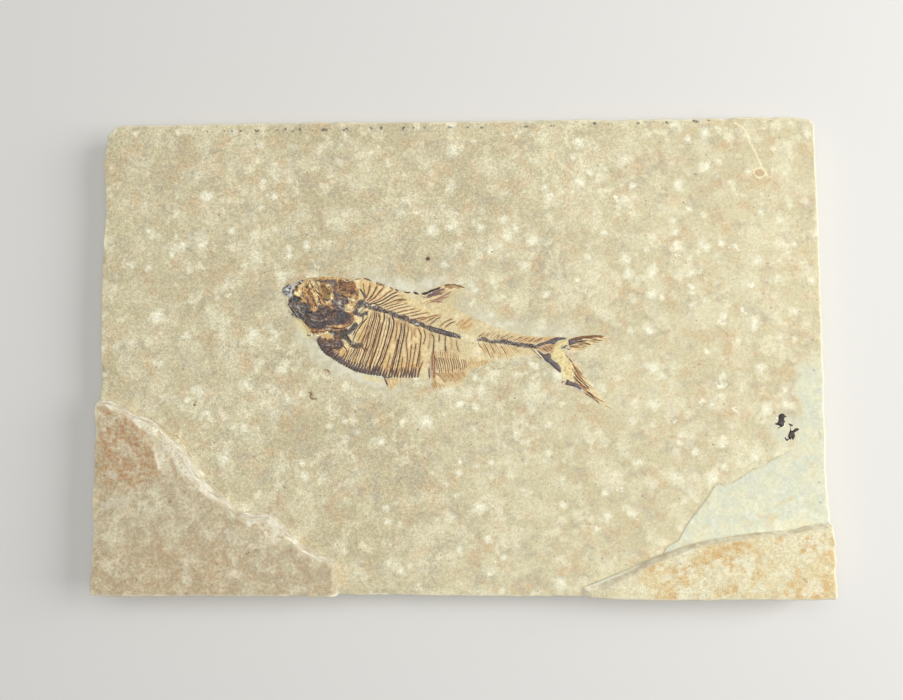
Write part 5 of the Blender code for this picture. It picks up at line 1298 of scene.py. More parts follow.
# Where bone is crushed to crumbs: middle, half sizes, how many
CRUSHED = [(-71.2, 26.9, 1.6, 1.9, 34), (-64.4, 25.0, 1.6, 2.6, 12), (-46.0, 28.6, 2.8, 2.2, 26),
           (-49.4, 21.0, 1.6, 1.8, 10), (-44.8, 22.4, 1.6, 1.4, 8), (-60.0, 9.0, 2.2, 1.0, 8),
           (-50.0, 4.6, 3.0, 2.0, 12), (-55.0, 26.6, 2.2, 1.8, 8), (-67.0, 29.0, 1.2, 0.8, 6)]
BONE_CRUMBS = ("chalk", "ash", "slate", "umber", "bone", "tan", "cream", "rust")
SNOUT_CRUMBS = ("chalk", "blue", "slate", "ink", "bone", "ash", "chalk", "ink")
SNOUT_END = -70.0


def crumbs():
    """The crushed bits of the snout, the jaws and the back of the head."""
    rng = np.random.default_rng(41)
    lines = []
    for x, y, wide, high, count in CRUSHED:
        names = SNOUT_CRUMBS if x < SNOUT_END else BONE_CRUMBS
        for _ in range(count):
            px = x + rng.uniform(-1, 1) * wide
            py = y + rng.uniform(-1, 1) * high
            turn = rng.uniform(0.0, math.pi)
            reach = rng.uniform(0.18, 0.5)
            step = np.array([math.cos(turn), math.sin(turn)]) * reach
            lines.append((names[rng.integers(len(names))], rng.uniform(0.25, 0.5),
                          [(px - step[0], py - step[1]), (px, py + 0.08), (px + step[0], py + step[1])]))
    return lines


def plates(name, areas):
    """Flat bony plates at the root of the tail, as one mesh of low domes."""
    pieces = []
    for colour, outline in areas:
        border = smooth_curve(outline + [outline[0]], 0.4)[:-1]
        inner = filling(border, 0.3, 0.16, np.random.default_rng(5))
        closed = np.vstack([border, border[:1]])

        def top(x, y):
            depth = distance_to(x, y, closed)[0]
            bumps = 0.10 * ripple(x, y, 0.8, 211) + 0.06 * ripple(x, y, 0.35, 212)
            return film_height(x, y) + 0.5 * smooth_step(depth, -0.1, 0.9) - 0.06 + bumps * (depth > 0.05)

        def stain(x, y):
            light = 0.5 + 0.5 * ripple(x, y, 0.7, 213)
            rust = smooth_step(ripple(x, y, 1.6, 214), 0.35, 0.7)[:, None] * 0.5
            tint = shade(colour)[None, :] * (0.7 + 0.8 * light)[:, None]
            tint = tint * (1 - rust) + shade("brown") * rust
            return np.column_stack([tint, np.ones(len(x))])

        pieces.append(thin_piece(f"{name}_{len(pieces)}", border, inner, top, BED - 0.3, {"stain": stain}))
    return joined(name, pieces)


def joined(name, pieces):
    """Several meshes as one object."""
    with bpy.context.temp_override(active_object=pieces[0], selected_editable_objects=pieces,
                                   object=pieces[0]):
        bpy.ops.object.join()
    pieces[0].name = name
    pieces[0].data.name = name
    return pieces[0]


# Two loose dark flakes near the right edge, clockwise
UPPER_FLAKE = traced("""
    132.6,-24.6 133.3,-25 133.7,-25.6 134.3,-25.7 134.2,-26.2 133.5,-26.5 133.3,-27.3 133.7,-28 133.3,-28.7
    133.2,-29.6 132.5,-30.2 131.5,-30.5 130.6,-31 130.3,-30.6 131.4,-30 130.4,-29.6 129.4,-29.3 129.3,-28.7
    130.4,-28.4 130.7,-27.5 130.8,-26 131.1,-25.2 131.9,-24.7""")
LOWER_FLAKE = traced("""
    134.4,-28.6 135.7,-28.9 136.6,-29.3 136.7,-29.9 136,-30 135.9,-30.8 136.1,-31.6 136.8,-31.4 137.2,-30.8
    138,-30.6 139.3,-30.9 138.8,-31.8 137.8,-32.3 137.3,-32.6 137.5,-33.5 137.1,-34.8 136.3,-35.7 136,-34.9
    135.5,-35.5 134.9,-35.3 134.3,-36 133.5,-35.6 132.9,-34.2 133.6,-34.4 134.2,-35 134.7,-34.8 134.5,-34
    134.7,-33 135.2,-31.8 135.4,-30.8 135.5,-29.9 134.9,-29.3""")


def dark_flake(name, outline, seed):
    """One loose dark flake, split and lumpy, a little proud of the bed."""
    border = smooth_curve(outline + [outline[0]], 0.3)[:-1]
    inner = filling(border, 0.22, 0.12, np.random.default_rng(seed))
    closed = np.vstack([border, border[:1]])

    def top(x, y):
        depth = distance_to(x, y, closed)[0]
        lumps = 0.22 * ripple(x, y, 1.1, seed) + 0.10 * ripple(x, y, 0.4, seed + 1)
        return BED + bed_waves(x, y) - 0.1 + smooth_step(depth, -0.1, 0.7) * (0.55 + lumps)

    def stain(x, y):
        light = 0.5 + 0.5 * ripple(x, y, 0.6, seed + 2)
        rust = smooth_step(ripple(x, y, 1.3, seed + 3), 0.1, 0.6)[:, None] * 0.7
        tint = shade("ink")[None, :] * (0.6 + 0.8 * light)[:, None]
        tint = tint * (1 - rust) + shade("umber") * rust
        return np.column_stack([tint, np.ones(len(x))])

    return thin_piece(name, border, inner, top, BED - FILM_DEPTH, {"stain": stain})


# ---------------------------------------------------------------- materials
class Graph:
    """The nodes of one material, over places in millimetres."""

    def __init__(self, name):
        self.material = bpy.data.materials.new(name)
        self.material.use_nodes = True
        self.tree = self.material.node_tree
        self.shader = self.tree.nodes["Principled BSDF"]
        where = self.node("ShaderNodeTexCoord").outputs["Object"]
        self.place = self.vector("MULTIPLY", where, (1 / MM,) * 3)

    def node(self, kind):
        return self.tree.nodes.new(kind)

    def feed(self, socket, value):
        """Links an output to a socket, or sets the socket to a plain value."""
        if isinstance(value, bpy.types.NodeSocket):
            self.tree.links.new(value, socket)
        else:
            socket.default_value = value

    def vector(self, operation, a, b):
        node = self.node("ShaderNodeVectorMath")
        node.operation = operation
        self.feed(node.inputs[0], a)
        self.feed(node.inputs[1], b)
        return node.outputs[0]

    def math(self, operation, a, b=0.0):
        node = self.node("ShaderNodeMath")
        node.operation = operation
        self.feed(node.inputs[0], a)
        self.feed(node.inputs[1], b)
        return node.outputs[0]

    def noise(self, size, seed, detail=2.0, rough=0.5, squash=(1.0, 1.0, 1.0)):
        """Cloudy noise with features about `size` millimetres across."""
        scaled = self.vector("MULTIPLY", self.place, tuple(part / size for part in squash))
        node = self.node("ShaderNodeTexNoise")
        self.feed(node.inputs["Vector"], self.vector("ADD", scaled, (seed * 7.3, seed * -3.1, seed * 1.7)))
        self.feed(node.inputs["Scale"], 1.0)
        self.feed(node.inputs["Detail"], detail)
        self.feed(node.inputs["Roughness"], rough)
        return node.outputs[0]

    def step(self, value, start, end, low=0.0, high=1.0):
        """A smooth rise from low to high as the value goes from start to end."""
        node = self.node("ShaderNodeMapRange")
        node.interpolation_type = "SMOOTHSTEP"
        self.feed(node.inputs["Value"], value)
        for socket, number in zip(("From Min", "From Max", "To Min", "To Max"), (start, end, low, high)):
            self.feed(node.inputs[socket], number)
        return node.outputs["Result"]

    def mix(self, amount, under, over, blend="MIX"):
        """One colour laid over another by an amount."""
        node = self.node("ShaderNodeMix")
        node.data_type = "RGBA"
        node.blend_type = blend
        self.feed(node.inputs[0], amount)
        for socket, value in ((node.inputs[6], under), (node.inputs[7], over)):
            self.feed(socket, value if isinstance(value, bpy.types.NodeSocket) else (*linear(*value), 1.0))
        return node.outputs[2]

    def node_noise_colour(self, size, seed):
        """Three independent noises as one vector."""
        node = self.node("ShaderNodeTexNoise")
        self.feed(node.inputs["Vector"], self.vector("MULTIPLY", self.place, (1 / size,) * 3))
        self.feed(node.inputs["Scale"], 1.0 + 0.01 * seed)
        return node.outputs["Color"]

    def mask(self, name):
        node = self.node("ShaderNodeAttribute")
        node.attribute_name = name
        return node.outputs["Fac"]

    def stain(self, name):
        node = self.node("ShaderNodeAttribute")
        node.attribute_name = name
        return node.outputs["Color"], node.outputs["Alpha"]

    def times(self, *values):
        product = values[0]
        for value in values[1:]:
            product = self.math("MULTIPLY", product, value)
        return product

    def grain(self, colour, size, seed, strength, detail=2.0):
        """A colour made lighter and darker by noise."""
        light = self.step(self.noise(size, seed, detail, 0.6), 0.34, 0.66, 1 - strength, 1 + strength)
        scaled = self.vector("MULTIPLY", colour, self.three(light))
        return scaled

    def three(self, value):
        node = self.node("ShaderNodeCombineXYZ")
        for socket in node.inputs:
            self.feed(socket, value)
        return node.outputs[0]

    def bump(self, height, distance_mm, strength):
        node = self.node("ShaderNodeBump")
        self.feed(node.inputs["Strength"], strength)
        self.feed(node.inputs["Distance"], distance_mm * MM)
        self.feed(node.inputs["Height"], height)
        self.feed(self.shader.inputs["Normal"], node.outputs["Normal"])


# Colours of the stone as drawn, before the light falls on it
TAN, PALE_TAN, CREAM, WHITE = (198, 187, 152), (208, 198, 163), (234, 228, 196), (243, 240, 213)
TAWNY, GREY = (209, 180, 140), (184, 176, 154)


def cells(graph, size, seed):
    """Distance to the nearest of many scattered middles, and a random number for each of them."""
    node = graph.node("ShaderNodeTexVoronoi")
    wander = graph.vector("SCALE", graph.node_noise_colour(size * 0.6, seed), (0.0, 0.0, 0.0))
    wander.node.inputs["Scale"].default_value = 0.5
    place = graph.vector("ADD", graph.vector("MULTIPLY", graph.place, (1 / size,) * 3), wander)
    graph.feed(node.inputs["Vector"], graph.vector("ADD", place, (seed * 3.7, seed * 1.3, 0.0)))
    graph.feed(node.inputs["Scale"], 1.0)
    parts = graph.node("ShaderNodeSeparateColor")
    graph.feed(parts.inputs[0], node.outputs["Color"])
    return node.outputs["Distance"], parts.outputs[0]


def bed_colour(graph):
    """The mottled limestone of the split face, with painted light that makes it paler towards its right side.
    """
    colour = graph.mix(graph.step(graph.noise(34.0, 1, 2.0), 0.40, 0.60), TAN, PALE_TAN)
    # Painted light: a ramp rising towards the right and the lower side makes the bed paler there, as if the
    # side light fell on it more strongly; the same ramp brings more pale spots there and less grain.
    across = graph.node("ShaderNodeSeparateXYZ")
    graph.feed(across.inputs[0], graph.place)
    right = graph.math("ADD", across.outputs[0], graph.times(graph.noise(30.0, 4, 2.0), 90.0))
    right = graph.math("ADD", right, graph.times(across.outputs[1], -0.45))
    lighter = graph.step(right, 10.0, 150.0)
    colour = graph.mix(graph.times(lighter, 0.36), colour, (223, 214, 174))
    cluster = graph.step(graph.noise(26.0, 2, 2.0), 0.36, 0.60, 0.35, 1.0)
    tawny = graph.step(graph.noise(8.0, 5, 4.0, 0.65), 0.50, 0.64)
    colour = graph.mix(graph.times(tawny, 0.52), colour, TAWNY)
    grey = graph.step(graph.noise(6.0, 6, 4.0, 0.65), 0.50, 0.66)
    colour = graph.mix(graph.times(grey, 0.55), colour, GREY)
    cloud = graph.step(graph.noise(11.0, 7, 3.0, 0.55), 0.48, 0.64)
    colour = graph.mix(graph.times(cloud, 0.38), colour, CREAM)
    blotch = graph.step(graph.noise(5.6, 3, 4.0, 0.6), 0.48, 0.70)
    colour = graph.mix(graph.times(blotch, cluster, 0.85), colour, CREAM)
    for size, seed, few, reach in ((10.5, 11, 0.50, 0.38), (6.0, 12, 0.62, 0.40)):
        distance, chance = cells(graph, size, seed)
        spot = graph.step(distance, 0.04, reach, 1.0, 0.0)
        chosen = graph.step(graph.math("ADD", chance, graph.times(lighter, 0.16)), few, few + 0.3)
        colour = graph.mix(graph.times(spot, chosen, 0.92), colour, WHITE)
    for size, seed, few, strength in ((2.4, 13, 0.60, 0.40), (5.0, 14, 0.72, 0.75)):
        distance, chance = cells(graph, size, seed)
        speck = graph.times(graph.step(distance, 0.2 / size, 0.5 / size, 1.0, 0.0),
                            graph.step(chance, few, few + 0.08))
        colour = graph.mix(graph.times(speck, strength), colour, (118, 108, 94))
    grained = graph.grain(graph.grain(colour, 0.5, 9, 0.15, 2.0), 1.2, 10, 0.11, 2.0)
    return graph.mix(graph.times(lighter, 0.45), grained, colour)


def drawn_out(graph, name, seed):
    """Noise drawn out into fine lines along a break, from the float that counts the way into it."""
    node = graph.node("ShaderNodeCombineXYZ")
    graph.feed(node.inputs[2], graph.mask(name))
    place = graph.vector("ADD", graph.vector("MULTIPLY", graph.place, (0.14, 0.14, 0.0)), node.outputs[0])
    noise = graph.node("ShaderNodeTexNoise")
    graph.feed(noise.inputs["Vector"], graph.vector("ADD", place, (seed * 7.3, seed * -3.1, seed * 1.7)))
    graph.feed(noise.inputs["Scale"], 1.0)
    graph.feed(noise.inputs["Detail"], 2.0)
    return noise.outputs[0]


def limestone_graph(name):
    """A material with the bed's colour, grain and bump, and the colour to carry on from."""
    graph = Graph(name)
    colour = bed_colour(graph)
    graph.feed(graph.shader.inputs["Roughness"], 0.88)
    graph.feed(graph.shader.inputs["Specular IOR Level"], 0.25)
    height = graph.math("ADD", graph.times(graph.noise(1.6, 12, 4.0, 0.65), 0.7), graph.noise(0.4, 13, 2.0))
    graph.bump(height, 0.10, 0.45)
    return graph, colour


def scraped_colour(graph):
    """The stone bared round the fish, paler and cooler than the bed."""
    bared = graph.mix(graph.step(graph.noise(3.4, 15, 3.0), 0.42, 0.62), (208, 202, 174), (226, 223, 200))
    return graph.grain(bared, 0.6, 16, 0.06)


def left_layer_colour(graph):
    """The left raised layer: tawny mottle, rust, pale clouds and small dark specks."""
    left = graph.mix(graph.step(graph.noise(6.0, 26, 4.0, 0.6), 0.40, 0.62), (190, 176, 145), (209, 199, 168))
    mottle = graph.step(graph.noise(4.2, 21, 4.0, 0.62), 0.46, 0.66)
    broad = graph.step(graph.noise(20.0, 22, 2.0), 0.35, 0.6)
    left = graph.mix(graph.times(mottle, broad, 0.55), left, (192, 164, 126))
    fine = graph.step(graph.noise(1.5, 28, 4.0, 0.65), 0.52, 0.66)
    left = graph.mix(graph.times(fine, 0.35), left, (186, 156, 122))
    rust = graph.step(graph.noise(1.7, 27, 5.0, 0.72), 0.40, 0.60, 0.10, 0.95)
    left = graph.mix(graph.times(graph.mask("rusty"), rust), left, (184, 144, 104))
    left = graph.mix(graph.step(graph.noise(7.0, 23, 4.0, 0.6), 0.53, 0.66, 0.0, 0.55), left, (226, 219, 190))
    dark = graph.step(graph.noise(1.1, 29, 3.0, 0.6), 0.60, 0.68)
    dark = graph.times(dark, graph.step(graph.mask("rusty"), 0.0, 0.6, 0.25, 0.65))
    left = graph.mix(dark, left, (138, 108, 80))
    left = graph.grain(graph.grain(left, 0.5, 24, 0.12), 1.3, 25, 0.11)
    return graph.mix(graph.mask("bare_ledge"), left, ledge_colour(graph))


def ledge_colour(graph):
    """The pale ledge along the left layer's edge, with rusty speckles."""
    ledge = graph.mix(graph.step(graph.noise(4.0, 36, 3.0), 0.40, 0.62), (212, 202, 170), (236, 230, 206))
    speckle = graph.step(graph.noise(1.8, 37, 4.0, 0.65), 0.52, 0.64, 0.0, 0.7)
    return graph.grain(graph.mix(speckle, ledge, (190, 156, 118)), 0.6, 38, 0.08)


def right_layer_colour(graph):
    """The right raised layer: cream washed with yellow, and ochre mottle over most of it."""
    wash = graph.step(graph.noise(17.0, 30, 3.0), 0.44, 0.62, 0.0, 0.55)
    right = graph.mix(wash, (223, 214, 178), (220, 199, 148))
    mottle = graph.step(graph.noise(9.0, 31, 4.0, 0.62), 0.43, 0.59)
    small = graph.step(graph.noise(2.2, 35, 4.0, 0.7), 0.38, 0.62, 0.15, 1.0)
    right = graph.mix(graph.times(mottle, small, graph.mask("ochre_part"), 0.85), right, (209, 170, 110))
    right = graph.mix(graph.step(graph.noise(4.4, 32, 3.0), 0.52, 0.64, 0.0, 0.6), right, (234, 230, 202))
    return graph.grain(graph.grain(right, 0.5, 33, 0.11), 1.3, 34, 0.09)


def pale_lamina_colour(graph):
    """The thin pale lamina, cool cream with warm clouds."""
    pale = graph.mix(graph.step(graph.noise(6.0, 41, 3.0), 0.42, 0.62), (213, 215, 192), (223, 221, 190))
    pale = graph.mix(graph.step(graph.noise(3.4, 46, 3.0), 0.54, 0.70, 0.0, 0.45), pale, (236, 235, 216))
    warm = graph.step(graph.noise(5.0, 48, 3.0), 0.56, 0.70, 0.0, 0.40)
    pale = graph.mix(warm, pale, (226, 204, 156))
    return graph.grain(graph.grain(pale, 0.5, 42, 0.05), 1.6, 47, 0.05)


def fresh_break_colour(graph):
    """The broken edge of the left layer, lined where its laminae end."""
    lined = graph.step(drawn_out(graph, "into_break", 43), 0.38, 0.60)
    fresh = graph.mix(lined, (186, 174, 148), (236, 231, 210))
    clouds = graph.step(graph.noise(4.0, 49, 3.0), 0.48, 0.66, 0.0, 0.5)
    return graph.grain(graph.mix(clouds, fresh, (210, 196, 164)), 0.6, 44, 0.07)


def painted_light_face_colour(graph):
    """The steep face of the right layer, painted paler than the stone around it to lift the shade that falls
    on it, and a little greyer in places.
    """
    return graph.mix(graph.step(graph.noise(3.0, 45, 3.0), 0.42, 0.60), (250, 242, 216), (228, 215, 188))


def worn_edge_colour(graph):
    """The worn arris, pale and even."""
    return (240, 234, 208)


def side_colour(graph):
    """The sides, banded bed by bed."""
    beds = graph.noise(1.15, 51, 3.0, 0.55, squash=(0.05, 0.05, 1.0))
    side = graph.mix(graph.step(beds, 0.36, 0.62), (188, 174, 138), (222, 212, 180))
    bands = graph.noise(2.6, 52, 3.0, 0.6, squash=(0.35, 0.35, 1.0))
    side = graph.mix(graph.step(bands, 0.52, 0.70, 0.0, 0.6), side, (168, 146, 108))
    return graph.grain(graph.grain(side, 0.5, 53, 0.10), 6.0, 54, 0.06)


def split_stone():
    """The slab's limestone: bed, raised layers, fresh breaks, bedded sides and painted marks."""
    graph, colour = limestone_graph("split_limestone")
    layers = (("scraped", 0.85, scraped_colour), ("left_layer", 0.97, left_layer_colour),
              ("right_layer", 1.0, right_layer_colour), ("pale_lamina", 1.0, pale_lamina_colour),
              ("fresh_break", 0.88, fresh_break_colour), ("painted_light_face", 0.9, painted_light_face_colour),
              ("worn_edge", 0.75, worn_edge_colour), ("broken_side", 1.0, side_colour))
    for name, strength, layer_colour in layers:
        amount = graph.times(graph.mask(name), strength)
        colour = graph.mix(amount, colour, layer_colour(graph))
    tint, cover = graph.stain("mark")
    tint = graph.grain(graph.grain(tint, 0.5, 55, 0.10), 1.8, 56, 0.08)
    graph.feed(graph.shader.inputs["Base Color"], graph.mix(cover, colour, tint))
    return graph.material


def stained_film():
    """The fish's film: its stain over the same limestone, with a fine broken grain."""
    graph, colour = limestone_graph("fish_stain")
    tint, cover = graph.stain("stain")
    tint = graph.grain(graph.grain(tint, 0.5, 61, 0.16, 3.0), 1.6, 62, 0.12)
    worn = graph.step(graph.noise(1.3, 63, 4.0, 0.65), 0.56, 0.74, 1.0, 0.55)
    colour = graph.mix(graph.times(cover, worn), colour, tint)
    graph.feed(graph.shader.inputs["Base Color"], colour)
    return graph.material


def fossil_bone():
    """Mineralised bone: dark, uneven, with a dull shine."""
    graph = Graph("fossil_bone")
    tint, _ = graph.stain("stain")
    tint = graph.grain(graph.grain(tint, 0.35, 71, 0.22, 3.0), 1.2, 72, 0.14)
    graph.feed(graph.shader.inputs["Base Color"], tint)
    graph.feed(graph.shader.inputs["Roughness"], graph.step(graph.noise(0.7, 73, 2.0), 0.3, 0.7, 0.42, 0.72))
    graph.bump(graph.noise(0.3, 74, 3.0), 0.06, 0.5)
    return graph.material


# ---------------------------------------------------------------- marks on the bed
# Small marks on the stone: colour, strength, rise, width, points
# The cream line from 116.4,96.1 to 129,73.7 and the cream ring at its lower end are a painted highlight on a
# low ridge and ring.
# The faint tan line along the edge of the pale lamina is partly a brown stain and partly painted shade at
# that small step.
# The long olive line along the foot of the right layer is partly a brown stain and partly painted shade in
# the crease at the foot of its step.
# The thin umber and olive lines from -127.6,-26.4 to -110.4,-42.5, beside the left break, are painted shadow
# in cracks, over a shallow groove.
BED_MARKS = drawn("""
    umber 0.9 0 1.7 -11.9,39.7  ink 0.7 0 0.7 -12.1,39.6  brown 0.6 0 0.7 -63.2,50.2 -62.6,50.3
    brown 0.5 0 0.6 -21.9,40.1  olive 0.2 0 2.4 -60,-17
    umber 0.75 0 0.7 -61.2,-16 -60.4,-16.6 -60.8,-17.6 -59.8,-18.6 -58,-18.6
    brown 0.5 0 0.8 -60.3,-15.4 -60.2,-17.2  umber 0.8 0 0.8 -109.2,-21.1
    rust 0.5 0 0.7 -109,-20.4 -108.6,-19.6  tan 0.6 -0.25 2.6 -53.8,-7.9
    umber 0.8 0.1 0.5 -55,-6.9 -54,-6.5 -53,-7.4  chalk 0.8 -0.1 1 -53.8,-8.4
    olive 0.5 0 0.25 106.2,11.5 109,9.6 111.4,7.3  ochre 0.6 0 1 25.6,95.8
    cream 0.7 0.08 1 116.4,96.1 120.1,93.5 122.4,87.6 124.4,83.7 126.7,77.8 129,73.7
    tan 0.45 -0.1 2.6 125,74.8 126.6,74.8
    cream 0.8 0.15 0.6 123.4,74.9 124.4,76.6 126.8,76.7 128.3,75.2 127.4,73.2 125,72.9 123.4,74.9
    umber 0.6 0 0.8 129.2,-24.4  slate 0.8 0 0.9 6.6,4.4  ash 0.4 0 0.4 146.6,-31.8 147.4,-33.6 147,-35.4
    umber 0.7 0 0.7 145.7,5.2  umber 0.6 0 0.6 145.8,-7.1  rust 0.5 0 0.8 146.3,-52.4
    umber 0.5 0 0.6 146.5,-60.5  umber 0.45 -0.1 0.3 -127.6,-26.4 -124.6,-28.4 -122.1,-31 -120.6,-32.6
    olive 0.4 -0.1 0.3 -120,-33 -115.8,-34.6 -112.6,-38.1 -110.4,-42.5
    bone 0.7 0.1 0.8 -120.5,-34.8 -121.1,-39.8  rust 0.35 0 1.6 -117.2,-43.7 -115,-49.7
    rust 0.35 0 1.2 -111,-50.7 -107.7,-54  bone 0.55 0.1 2.6 -112.6,-41.8 -109.7,-45.7 -107.7,-48.7
    bone 0.7 0.1 1.2 -87.9,-66 -83,-68.5  bone 0.6 0.05 3.4 -79,-67 -75.1,-68.9 -71.1,-72.4
    tan 0.35 0 2.2 -88.6,-69  bone 0.55 0 1.5 -93.4,-72 -92.1,-76  bone 0.45 0 3.4 -141.3,-49.3 -140.5,-50.1
    bone 0.4 0 3.4 -144.3,-62.5 -135.4,-59.6  rust 0.8 0 0.5 -85.2,-81.5 -84.2,-80.8
    rust 0.8 0 0.5 -82.2,-80.2 -81.3,-79.6  rust 0.5 0 1.2 -109.5,-97.6  rust 0.4 0 1.2 -111,-56.8
    rust 0.45 0 1.4 -117,-60.5  rust 0.45 0 1.2 -67,-80  plum 0.35 0 1.2 137.6,-90.2 138.6,-91
    umber 0.6 0 0.6 89.2,-84.5  umber 0.6 0 0.6 92.8,-85.2  umber 0.5 0 0.6 99,-96.6
    amber 0.22 0 1.6 143,-45.2 144.6,-47.4 144,-50  yellow 0.6 0 2 -38,-9.7 -34.5,-10.6 -31.6,-11.2
    yellow 0.3 0 3.4 -66.6,13.2 -63.2,9.4 -62.4,8  yellow 0.4 0 1.8 -66.4,13.8 -63.2,9.8 -62.2,7.8
    straw 0.6 0 2.8 -13.2,-6.4 -13.4,-9.4  white 0.8 0.05 1.3 131.6,-28.2 133,-29.4
    white 0.7 0.05 0.9 130.4,-26.6  amber 0.2 0 2 122,-66 128,-66.4  amber 0.2 0 1.6 130,-61 136,-58.6
    olive 0.28 0 0.45 51.5,-94.5 60,-91.2 70,-87.2 79,-83 84,-81 90,-78.8 97,-76.6 105,-75 115,-73.4
    125,-72.3 135,-71.4 142,-69.6 149.6,-68.5
    tan 0.14 0 0.4 83.6,-80.4 84.5,-78.4 89.6,-75.4 92.6,-70 101.2,-58.6 104.6,-53.8 111.3,-52.4 119,-47.7
    130.8,-41.7""")
# Grey specks along the far edge: how far right of the middle, and about how wide each one is
GREY_SPECKS = traced("""
    -106,0.7 -99,0.5 -95.5,0.6 -92,0.8 -85,1.3 -81,0.8 -79.3,0.5 -76,1 -72.8,1 -69.5,0.8 -66,0.9 -60.8,0.6
    -56,1.4 -47.5,0.9 -46,0.9 -36,0.7 -31.5,1 -22,1.2 -18.3,0.8 -13.3,0.8 -2.5,1 4.5,0.8 11,1 29.5,1.2
    40.5,0.8 53.5,0.5 58,0.8 64,0.5 76.5,1 88.5,1 100.5,1.3 105.8,0.7""")
# Places of the most distinct pale spots, and about how wide each one is
PALE_SPOTS = traced("""
    -0.1,58.2,2 117.3,16.8,3 97.2,27.7,3 -101.5,-38.1,2 39.2,66.3,3 89.6,-27.8,2.2 48.8,67.5,2
    -98.7,61.2,2.2 -95.9,24.5,2.2 -78.3,66.1,3 79,42.4,2.4 -90.3,65,2 114.8,44.2,3 113.1,-23.3,2.8
    121.7,27.5,3 66.8,-55.8,2.2 100.3,-19.7,2.8 -115.1,7.7,2.2 24.4,-32.3,2.2 107.7,-13.6,3 -104.7,-25.3,4
    -124.7,-31.9,2.8 66.6,64.4,2.8 55.5,39.2,2.2 -120.1,42.5,3 57.3,-71.5,2.8 -66.9,72,2.2 91.3,40.2,2.2""")


def marks():
    """Every small mark on the stone, as colour, width and points."""
    found = list(BED_MARKS)
    rng = np.random.default_rng(51)
    for x, y, size in PALE_SPOTS:
        for _ in range(7):
            place = (x + rng.normal(0, 0.26) * size, y + rng.normal(0, 0.26) * size)
            found.append(("white", rng.uniform(0.35, 0.7), 0.02, rng.uniform(0.25, 0.5) * size, [place]))
    for x, size in GREY_SPECKS:
        y = float(np.interp(x, (-110.0, 0.0, 60.0, 105.0), (95.2, 95.6, 96.2, 97.0)))
        y += rng.uniform(-0.3, 0.3)
        for _ in range(3):
            place = (x + rng.uniform(-0.7, 0.7) * size, y + rng.uniform(-0.5, 0.5) * size)
            found.append(("slate", rng.uniform(0.55, 0.9), 0.0, rng.uniform(0.6, 1.0) * size, [place]))
    return [((shade(name), strength, rise), width, line) for name, strength, rise, width, line in found]


# ---------------------------------------------------------------- putting it together
def place_piece(piece, material, slot, *nodes):
    """Gives a piece its material, hangs it under the root body and hides the solids it stands for."""
    piece.data.materials.append(material)
    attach(piece, "root")
    if nodes:
        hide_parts(*nodes)


FLOOR_REACH = 3000
FLOOR_COLOUR = (0.72, 0.71, 0.68, 1.0)
SURROUND = 0.23
# Name, place in metres, size in metres and power in watts of each light
LIGHTS = [("side_light", (0.95, 0.10, 0.62), 0.7, 10.2), ("top_light", (-0.05, 0.15, 1.3), 1.4, 9.8)]


def studio():
    """A pale floor, soft light mostly from the right, and an even surround."""
    corners = [(right * FLOOR_REACH, up * FLOOR_REACH, 0)
               for right, up in ((-1, -1), (1, -1), (1, 1), (-1, 1))]
    floor = make_mesh("studio_floor", corners, [(0, 1, 2, 3)])
    surface = bpy.data.materials.new("studio_floor")
    surface.use_nodes = True
    shader = surface.node_tree.nodes["Principled BSDF"]
    shader.inputs["Base Color"].default_value = FLOOR_COLOUR
    shader.inputs["Roughness"].default_value = 0.9
    floor.data.materials.append(surface)
    for name, place, size, power in LIGHTS:
        lamp = bpy.data.lights.new(name, "AREA")
        lamp.size = size
        lamp.energy = power
        light = bpy.data.objects.new(name, lamp)
        light.location = place
        light.rotation_euler = Vector(place).to_track_quat("Z", "Y").to_euler()
        bpy.context.scene.collection.objects.link(light)
    world = bpy.data.worlds.new("studio")
    world.use_nodes = True
    world.node_tree.nodes["Background"].inputs["Color"].default_value = (1.0, 1.0, 1.0, 1.0)
    world.node_tree.nodes["Background"].inputs["Strength"].default_value = SURROUND
    bpy.context.scene.world = world
    bpy.context.scene.view_settings.view_transform = "Standard"


# Place in metres, turn in degrees, lens in millimetres
CAMERA_PLACE = (0.00827, -0.02060, 0.34239)
CAMERA_TURN = (3.849, 1.808, -0.0548)
CAMERA_LENS = 31.694


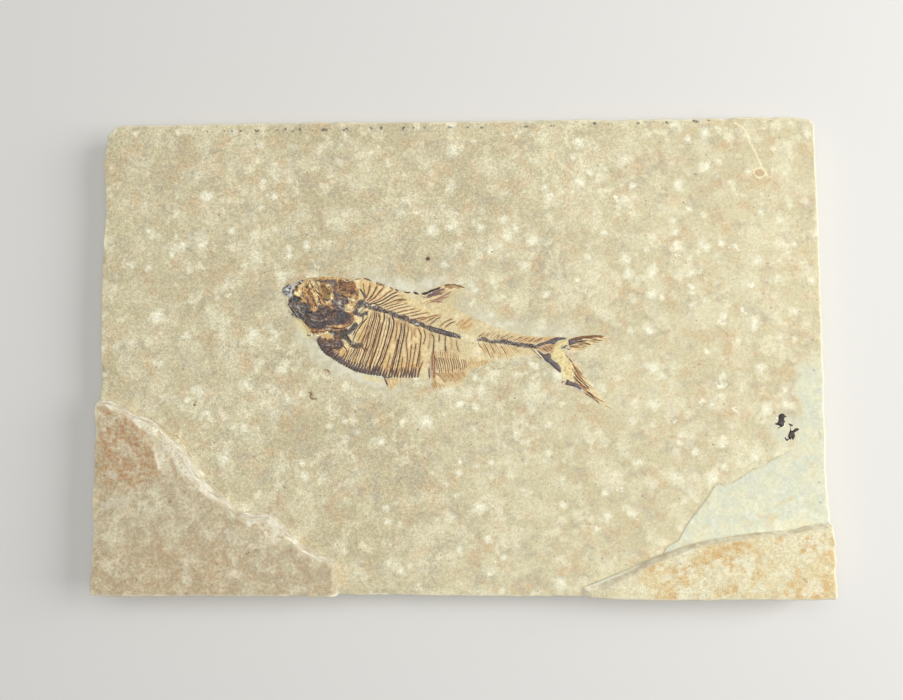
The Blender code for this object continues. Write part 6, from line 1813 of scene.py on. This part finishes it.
def camera():
    """A view almost straight down on the bed."""
    data = bpy.data.cameras.new("camera")
    data.lens = CAMERA_LENS
    data.clip_start = 0.01
    view = bpy.data.objects.new("camera", data)
    view.location = CAMERA_PLACE
    view.rotation_euler = [math.radians(angle) for angle in CAMERA_TURN]
    bpy.context.scene.collection.objects.link(view)
    bpy.context.scene.camera = view


def main():
    """Every piece of the slab and the fish, then the studio."""
    stone, film, bone = split_stone(), stained_film(), fossil_bone()
    place_piece(stone_plate(marks()), stone, "limestone", "stone_slab")
    body = fish_film()
    place_piece(body, film, "fossil_bone", "fossil_fish")
    ground = Ground()
    ground.add(body)
    groups = [("skull_bones", SKULL_BONES, 0.36, 1.45), ("skull_streaks", list(skull_strokes()), 0.30, 1.0),
              ("jaw_crumbs", crumbs(), 0.4, 1.0), ("ribs", RIBS, 0.36, 1.15),
              ("thin_ribs", list(rib_lines()), 0.30, 1.0), ("haemal_bones", HAEMAL_BONES, 0.36, 1.2),
              ("neural_spines", NEURAL_SPINES, 0.36, 1.35), ("rear_spines", REAR_BONES, 0.36, 1.1),
              ("backbone", BACKBONE, 0.25, 0.95), ("vertebrae", list(vertebrae()), 0.30, 1.0),
              ("back_scutes", BACK_SCUTES, 0.35, 1.5), ("back_combs", list(back_combs()), 0.35, 1.4),
              ("fin_rays", FIN_RAYS, 0.35, 1.2), ("fine_rays", list(fans()), 0.28, 1.35),
              ("tail_glints", TAIL_GLINTS, 0.3, 1.0)]
    for index, (name, lines, rise, swell) in enumerate(groups):
        piece = bone_group(name, lines, 1000 * (index + 1), rise, swell, ground)
        place_piece(piece, bone, "fossil_bone")
        if name in ("skull_bones", "backbone"):
            ground.add(piece)
    place_piece(bone_group("belly_scutes", list(belly_scutes()), 21000, 0.30, 1.0, ground, wedge=True),
                bone, "fossil_bone")
    place_piece(plates("tail_plates", TAIL_PLATES), bone, "fossil_bone")
    place_piece(dark_flake("upper_flake_face", UPPER_FLAKE, 301), bone, "dark_flake", "upper_dark_flake")
    place_piece(dark_flake("lower_flake_face", LOWER_FLAKE, 311), bone, "dark_flake", "lower_dark_flake")
    studio()
    camera()


main()
